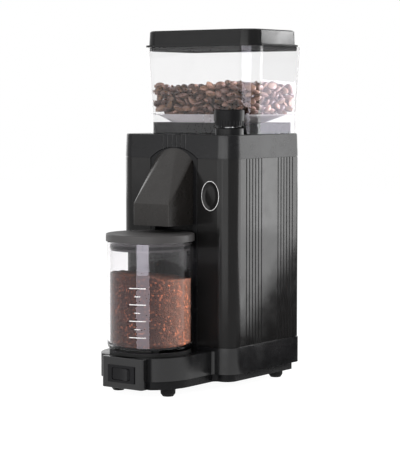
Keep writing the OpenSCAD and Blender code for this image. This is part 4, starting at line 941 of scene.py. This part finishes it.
def make_beans(material):
    """The hopper's beans as one mesh, with each bean's tone and groove as values on its points."""
    space = Bin()
    rng = random.Random(BEAN_SEED)
    points, faces, groove = bean_shape()
    vertices, polygons, tones, grooves = [], [], [], []
    for place in pile_beans(space, rng):
        turn = bean_turn(rng)
        size = rng.uniform(*BEAN_SIZES)
        tone = min(1.0, max(0.0, rng.gauss(*BEAN_ROAST)))
        first = len(vertices)
        spots = [turn @ Vector(point) * size + Vector(place) for point in points]
        nudge = space.nudge(spots)
        for spot in spots:
            x, y, z = space.hold(*(spot + nudge))
            vertices.append((x * MM, (y + space.shift) * MM, z * MM))
        polygons.extend(tuple(first + k for k in face) for face in faces)
        tones.extend([tone] * len(points))
        grooves.extend(groove)
    mesh = bpy.data.meshes.new("beans")
    mesh.from_pydata(vertices, [], polygons)
    mesh.attributes.new("tone", "FLOAT", "POINT").data.foreach_set("value", tones)
    mesh.attributes.new("groove", "FLOAT", "POINT").data.foreach_set("value", grooves)
    mesh.polygons.foreach_set("use_smooth", [True] * len(mesh.polygons))
    add_piece("coffee_beans", mesh, "hopper", [material])


# ---------------------------------------------------------------- coffee grounds

# The jar's glass in millimetres, as the CAD part has it, and what the grounds keep from it.
GLASS = 2.4
GLASS_FLOOR = 3.2
JAR_CORNER = 5.0
GROUNDS_GAP = 0.15

GROUNDS_LEVEL = 66.0
GROUNDS_SLOPE = (-0.05, -0.07)

# Humps of the grounds' surface: height, place in the noise, and length, in millimetres.
HUMPS_SLOW = (1.6, 3.0, 17.0)
HUMPS_QUICK = (0.8, 9.0, 6.0)
CRUMBS = (0.7, 0.0, 1.1)

# Pits in the grounds' side: depth and length, in millimetres.
PITS_FINE = (0.75, 0.9)
PITS_WIDE = (0.35, 4.0)

# The grounds' corner is a little tighter than the glass's.
CORNER_LESS = 0.4

# The grounds' mesh, and the kinds of its rings.
GROUNDS_COLUMNS = 220
GROUNDS_ROWS = 66
TOP_RINGS = 34
CORNER_STEPS = 4
CORNER, SIDE, TOP = range(3)


def jar_axis():
    """The jar's axis and outer radius in millimetres."""
    corner_low, corner_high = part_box("jar")
    x = (corner_low[0] + corner_high[0]) / 2 / MM
    y = (corner_low[1] + corner_high[1]) / 2 / MM
    return x, y, (corner_high[0] - corner_low[0]) / 2 / MM


def rough(x, y, z, size):
    return noise.noise(Vector((x, y, z)) / size)


def hump(x, y, shape):
    height, place, size = shape
    return height * rough(x, y, place, size)


def heap(x, y):
    """Height of the grounds' surface over their mean level: a slope with slow and quick humps."""
    slope = GROUNDS_SLOPE[0] * x + GROUNDS_SLOPE[1] * y
    return slope + hump(x, y, HUMPS_SLOW) + hump(x, y, HUMPS_QUICK)


def granules(x, y, z):
    """How far the grounds' side is pitted at x, y, z."""
    grain = 0.5 + 0.5 * rough(x, y, z, PITS_FINE[1])
    return PITS_FINE[0] * grain * grain + PITS_WIDE[0] * max(0.0, rough(x, y, z, PITS_WIDE[1]))


def grounds_rings(radius, bottom, inner):
    """Radius, level and kind of each ring, from the bottom's corner up the side and in over the top.

    The level is in millimetres in the corner, and a share of the side's height elsewhere.
    """
    rings = []
    for k in range(CORNER_STEPS + 1):
        turn = math.pi / 2 * k / CORNER_STEPS
        reach = radius - inner + inner * math.sin(turn)
        rings.append((reach, bottom + inner - inner * math.cos(turn), CORNER))
    for k in range(1, GROUNDS_ROWS + 1):
        rings.append((radius, k / GROUNDS_ROWS, SIDE))
    for k in range(1, TOP_RINGS):
        rings.append((radius * (1 - k / TOP_RINGS), 1.0, TOP))
    return rings


def make_grounds(material):
    """Granular coffee that fills the jar's lower part, higher to the left, as one closed mesh."""
    axis_x, axis_y, outer = jar_axis()
    radius = outer - GLASS - GROUNDS_GAP
    bottom = low("jar")[2] / MM + GLASS_FLOOR + GROUNDS_GAP
    inner = JAR_CORNER - CORNER_LESS
    rings = grounds_rings(radius, bottom, inner)
    vertices = [(axis_x, axis_y, bottom)]
    for ring_radius, z, kind in rings:
        for column in range(GROUNDS_COLUMNS):
            # Every other ring is turned by half a column; a ring's last point goes with the next ring.
            stagger = 0.5 * (len(vertices) // GROUNDS_COLUMNS % 2)
            turn = FULL_TURN * (column + stagger) / GROUNDS_COLUMNS
            x, y = ring_radius * math.cos(turn), ring_radius * math.sin(turn)
            top = bottom + GROUNDS_LEVEL + heap(x, y)
            place = z if kind == CORNER else bottom + inner + (top - bottom - inner) * z
            depth = granules(x, y, place) if kind == SIDE and z < 1 else 0.0
            if kind == TOP:
                place += hump(x, y, CRUMBS)
            scale = (ring_radius - depth) / ring_radius
            vertices.append((axis_x + x * scale, axis_y + y * scale, place))
    vertices.append((axis_x, axis_y, bottom + GROUNDS_LEVEL + heap(0, 0)))
    faces = closed_rings(len(rings), GROUNDS_COLUMNS, len(vertices) - 1)
    mesh = bpy.data.meshes.new("grounds")
    mesh.from_pydata([tuple(c * MM for c in v) for v in vertices], [], faces)
    mesh.polygons.foreach_set("use_smooth", [True] * len(mesh.polygons))
    add_piece("coffee_grounds", mesh, "jar", [material])


# ---------------------------------------------------------------- marks and badge

MARK_AZIMUTH = 21.0
MARK_LEVELS = (56.0, 71.3, 86.5, 101.6)
MARK_LONG = 22.8
MARK_SHORT = 7.7
MARK_STEP = 1.2
MARK_WIDTH = 0.7
MARK_PROUD = 0.08
MARK_OFF_GLASS = 0.01


def strip_on_glass(mesh, axis, radius, start, stop, z_low, z_high):
    """A thin raised strip on the round glass between two azimuths and two levels."""
    count = max(2, int(abs(stop - start) / MARK_STEP) + 1)
    loops = []
    for k in range(count + 1):
        turn = math.radians(start + (stop - start) * k / count)
        ring = []
        for out, z in ((0.0, z_low), (MARK_PROUD, z_low), (MARK_PROUD, z_high), (0.0, z_high)):
            reach = radius + MARK_OFF_GLASS + out
            spot = Vector((axis[0] + reach * math.sin(turn), axis[1] - reach * math.cos(turn), z))
            ring.append(mesh.verts.new(spot * MM))
        loops.append(ring)
    for before, ring in zip(loops, loops[1:]):
        for k in range(4):
            after = (k + 1) % 4
            mesh.faces.new((before[k], before[after], ring[after], ring[k]))
    mesh.faces.new(loops[0][::-1])
    mesh.faces.new(loops[-1])


def make_marks(material):
    """Plain fill-level marks on the front of the jar: long and short strokes in turn."""
    *axis, radius = jar_axis()
    mesh = bmesh.new()
    levels = [(z, MARK_LONG) for z in MARK_LEVELS]
    levels += [((a + b) / 2, MARK_SHORT) for a, b in zip(MARK_LEVELS, MARK_LEVELS[1:])]
    half = MARK_WIDTH / 2
    for z, arc in levels:
        start = MARK_AZIMUTH - arc / 2
        strip_on_glass(mesh, axis, radius, start, start + arc, z - half, z + half)
    bmesh.ops.recalc_face_normals(mesh, faces=mesh.faces)
    data = bpy.data.meshes.new("level_marks")
    mesh.to_mesh(data)
    mesh.free()
    add_piece("level_marks", data, "jar", [material])


BADGE_CENTRE = (43.15, 184.45)
BADGE_HALF = (10.2, 14.1)
BADGE_PROUD = 0.3
BADGE_DISH = BADGE_PROUD * 0.6
BADGE_CHAMFER = 0.1
BADGE_RIM = 0.55
BADGE_RIM_SLOPE = 0.15
BADGE_OFF_WALL = 0.02
BADGE_POINTS = 96

# How far in from the outline, and how proud of the wall, each ring of points is.
BADGE_PROFILE = [
    (0.0, 0.0),
    (BADGE_CHAMFER, BADGE_PROUD),
    (BADGE_RIM, BADGE_PROUD),
    (BADGE_RIM + BADGE_RIM_SLOPE, BADGE_DISH),
    (BADGE_HALF[0] / 2, BADGE_DISH),
]


def make_badge(plate, rim):
    """A bare oval plate with a thin pale rim on the front of the housing."""
    wall = low("housing_shell")[1] / MM - BADGE_OFF_WALL
    middle_x, middle_z = BADGE_CENTRE
    vertices = []
    for inset, proud in BADGE_PROFILE:
        for k in range(BADGE_POINTS):
            turn = FULL_TURN * k / BADGE_POINTS
            x = middle_x + (BADGE_HALF[0] - inset) * math.cos(turn)
            z = middle_z + (BADGE_HALF[1] - inset) * math.sin(turn)
            vertices.append((x * MM, (wall - proud) * MM, z * MM))
    vertices.append((middle_x * MM, (wall - BADGE_DISH) * MM, middle_z * MM))
    faces = [tuple(range(BADGE_POINTS))]
    for ring in range(len(BADGE_PROFILE) - 1):
        for k in range(BADGE_POINTS):
            after = (k + 1) % BADGE_POINTS
            a, b = ring * BADGE_POINTS, (ring + 1) * BADGE_POINTS
            faces.append((a + k, b + k, b + after, a + after))
    last = (len(BADGE_PROFILE) - 1) * BADGE_POINTS
    for k in range(BADGE_POINTS):
        faces.append((last + k, len(vertices) - 1, last + (k + 1) % BADGE_POINTS))
    mesh = bpy.data.meshes.new("badge")
    mesh.from_pydata(vertices, [], faces)
    mesh.polygons.foreach_set("use_smooth", [len(face) <= 4 for face in faces])
    piece = add_piece("blank_badge", mesh, "frame", [plate, rim])
    # The back is face 0, then come the outer bevel and the rim.
    for index in range(1 + BADGE_POINTS, 1 + 2 * BADGE_POINTS):
        mesh.polygons[index].material_index = 1


# ---------------------------------------------------------------- build

make_camera()
make_world()
make_floor()
MATERIALS = make_materials()
dress_nodes(MATERIALS, make_finishes())
make_beans(bean_skin())
make_grounds(ground_coffee())
INK = mark_ink()
make_marks(INK)
make_badge(MATERIALS["black_housing"], INK)
make_cards()
make_lights()

scene = bpy.context.scene
scene.view_settings.view_transform = "Standard"
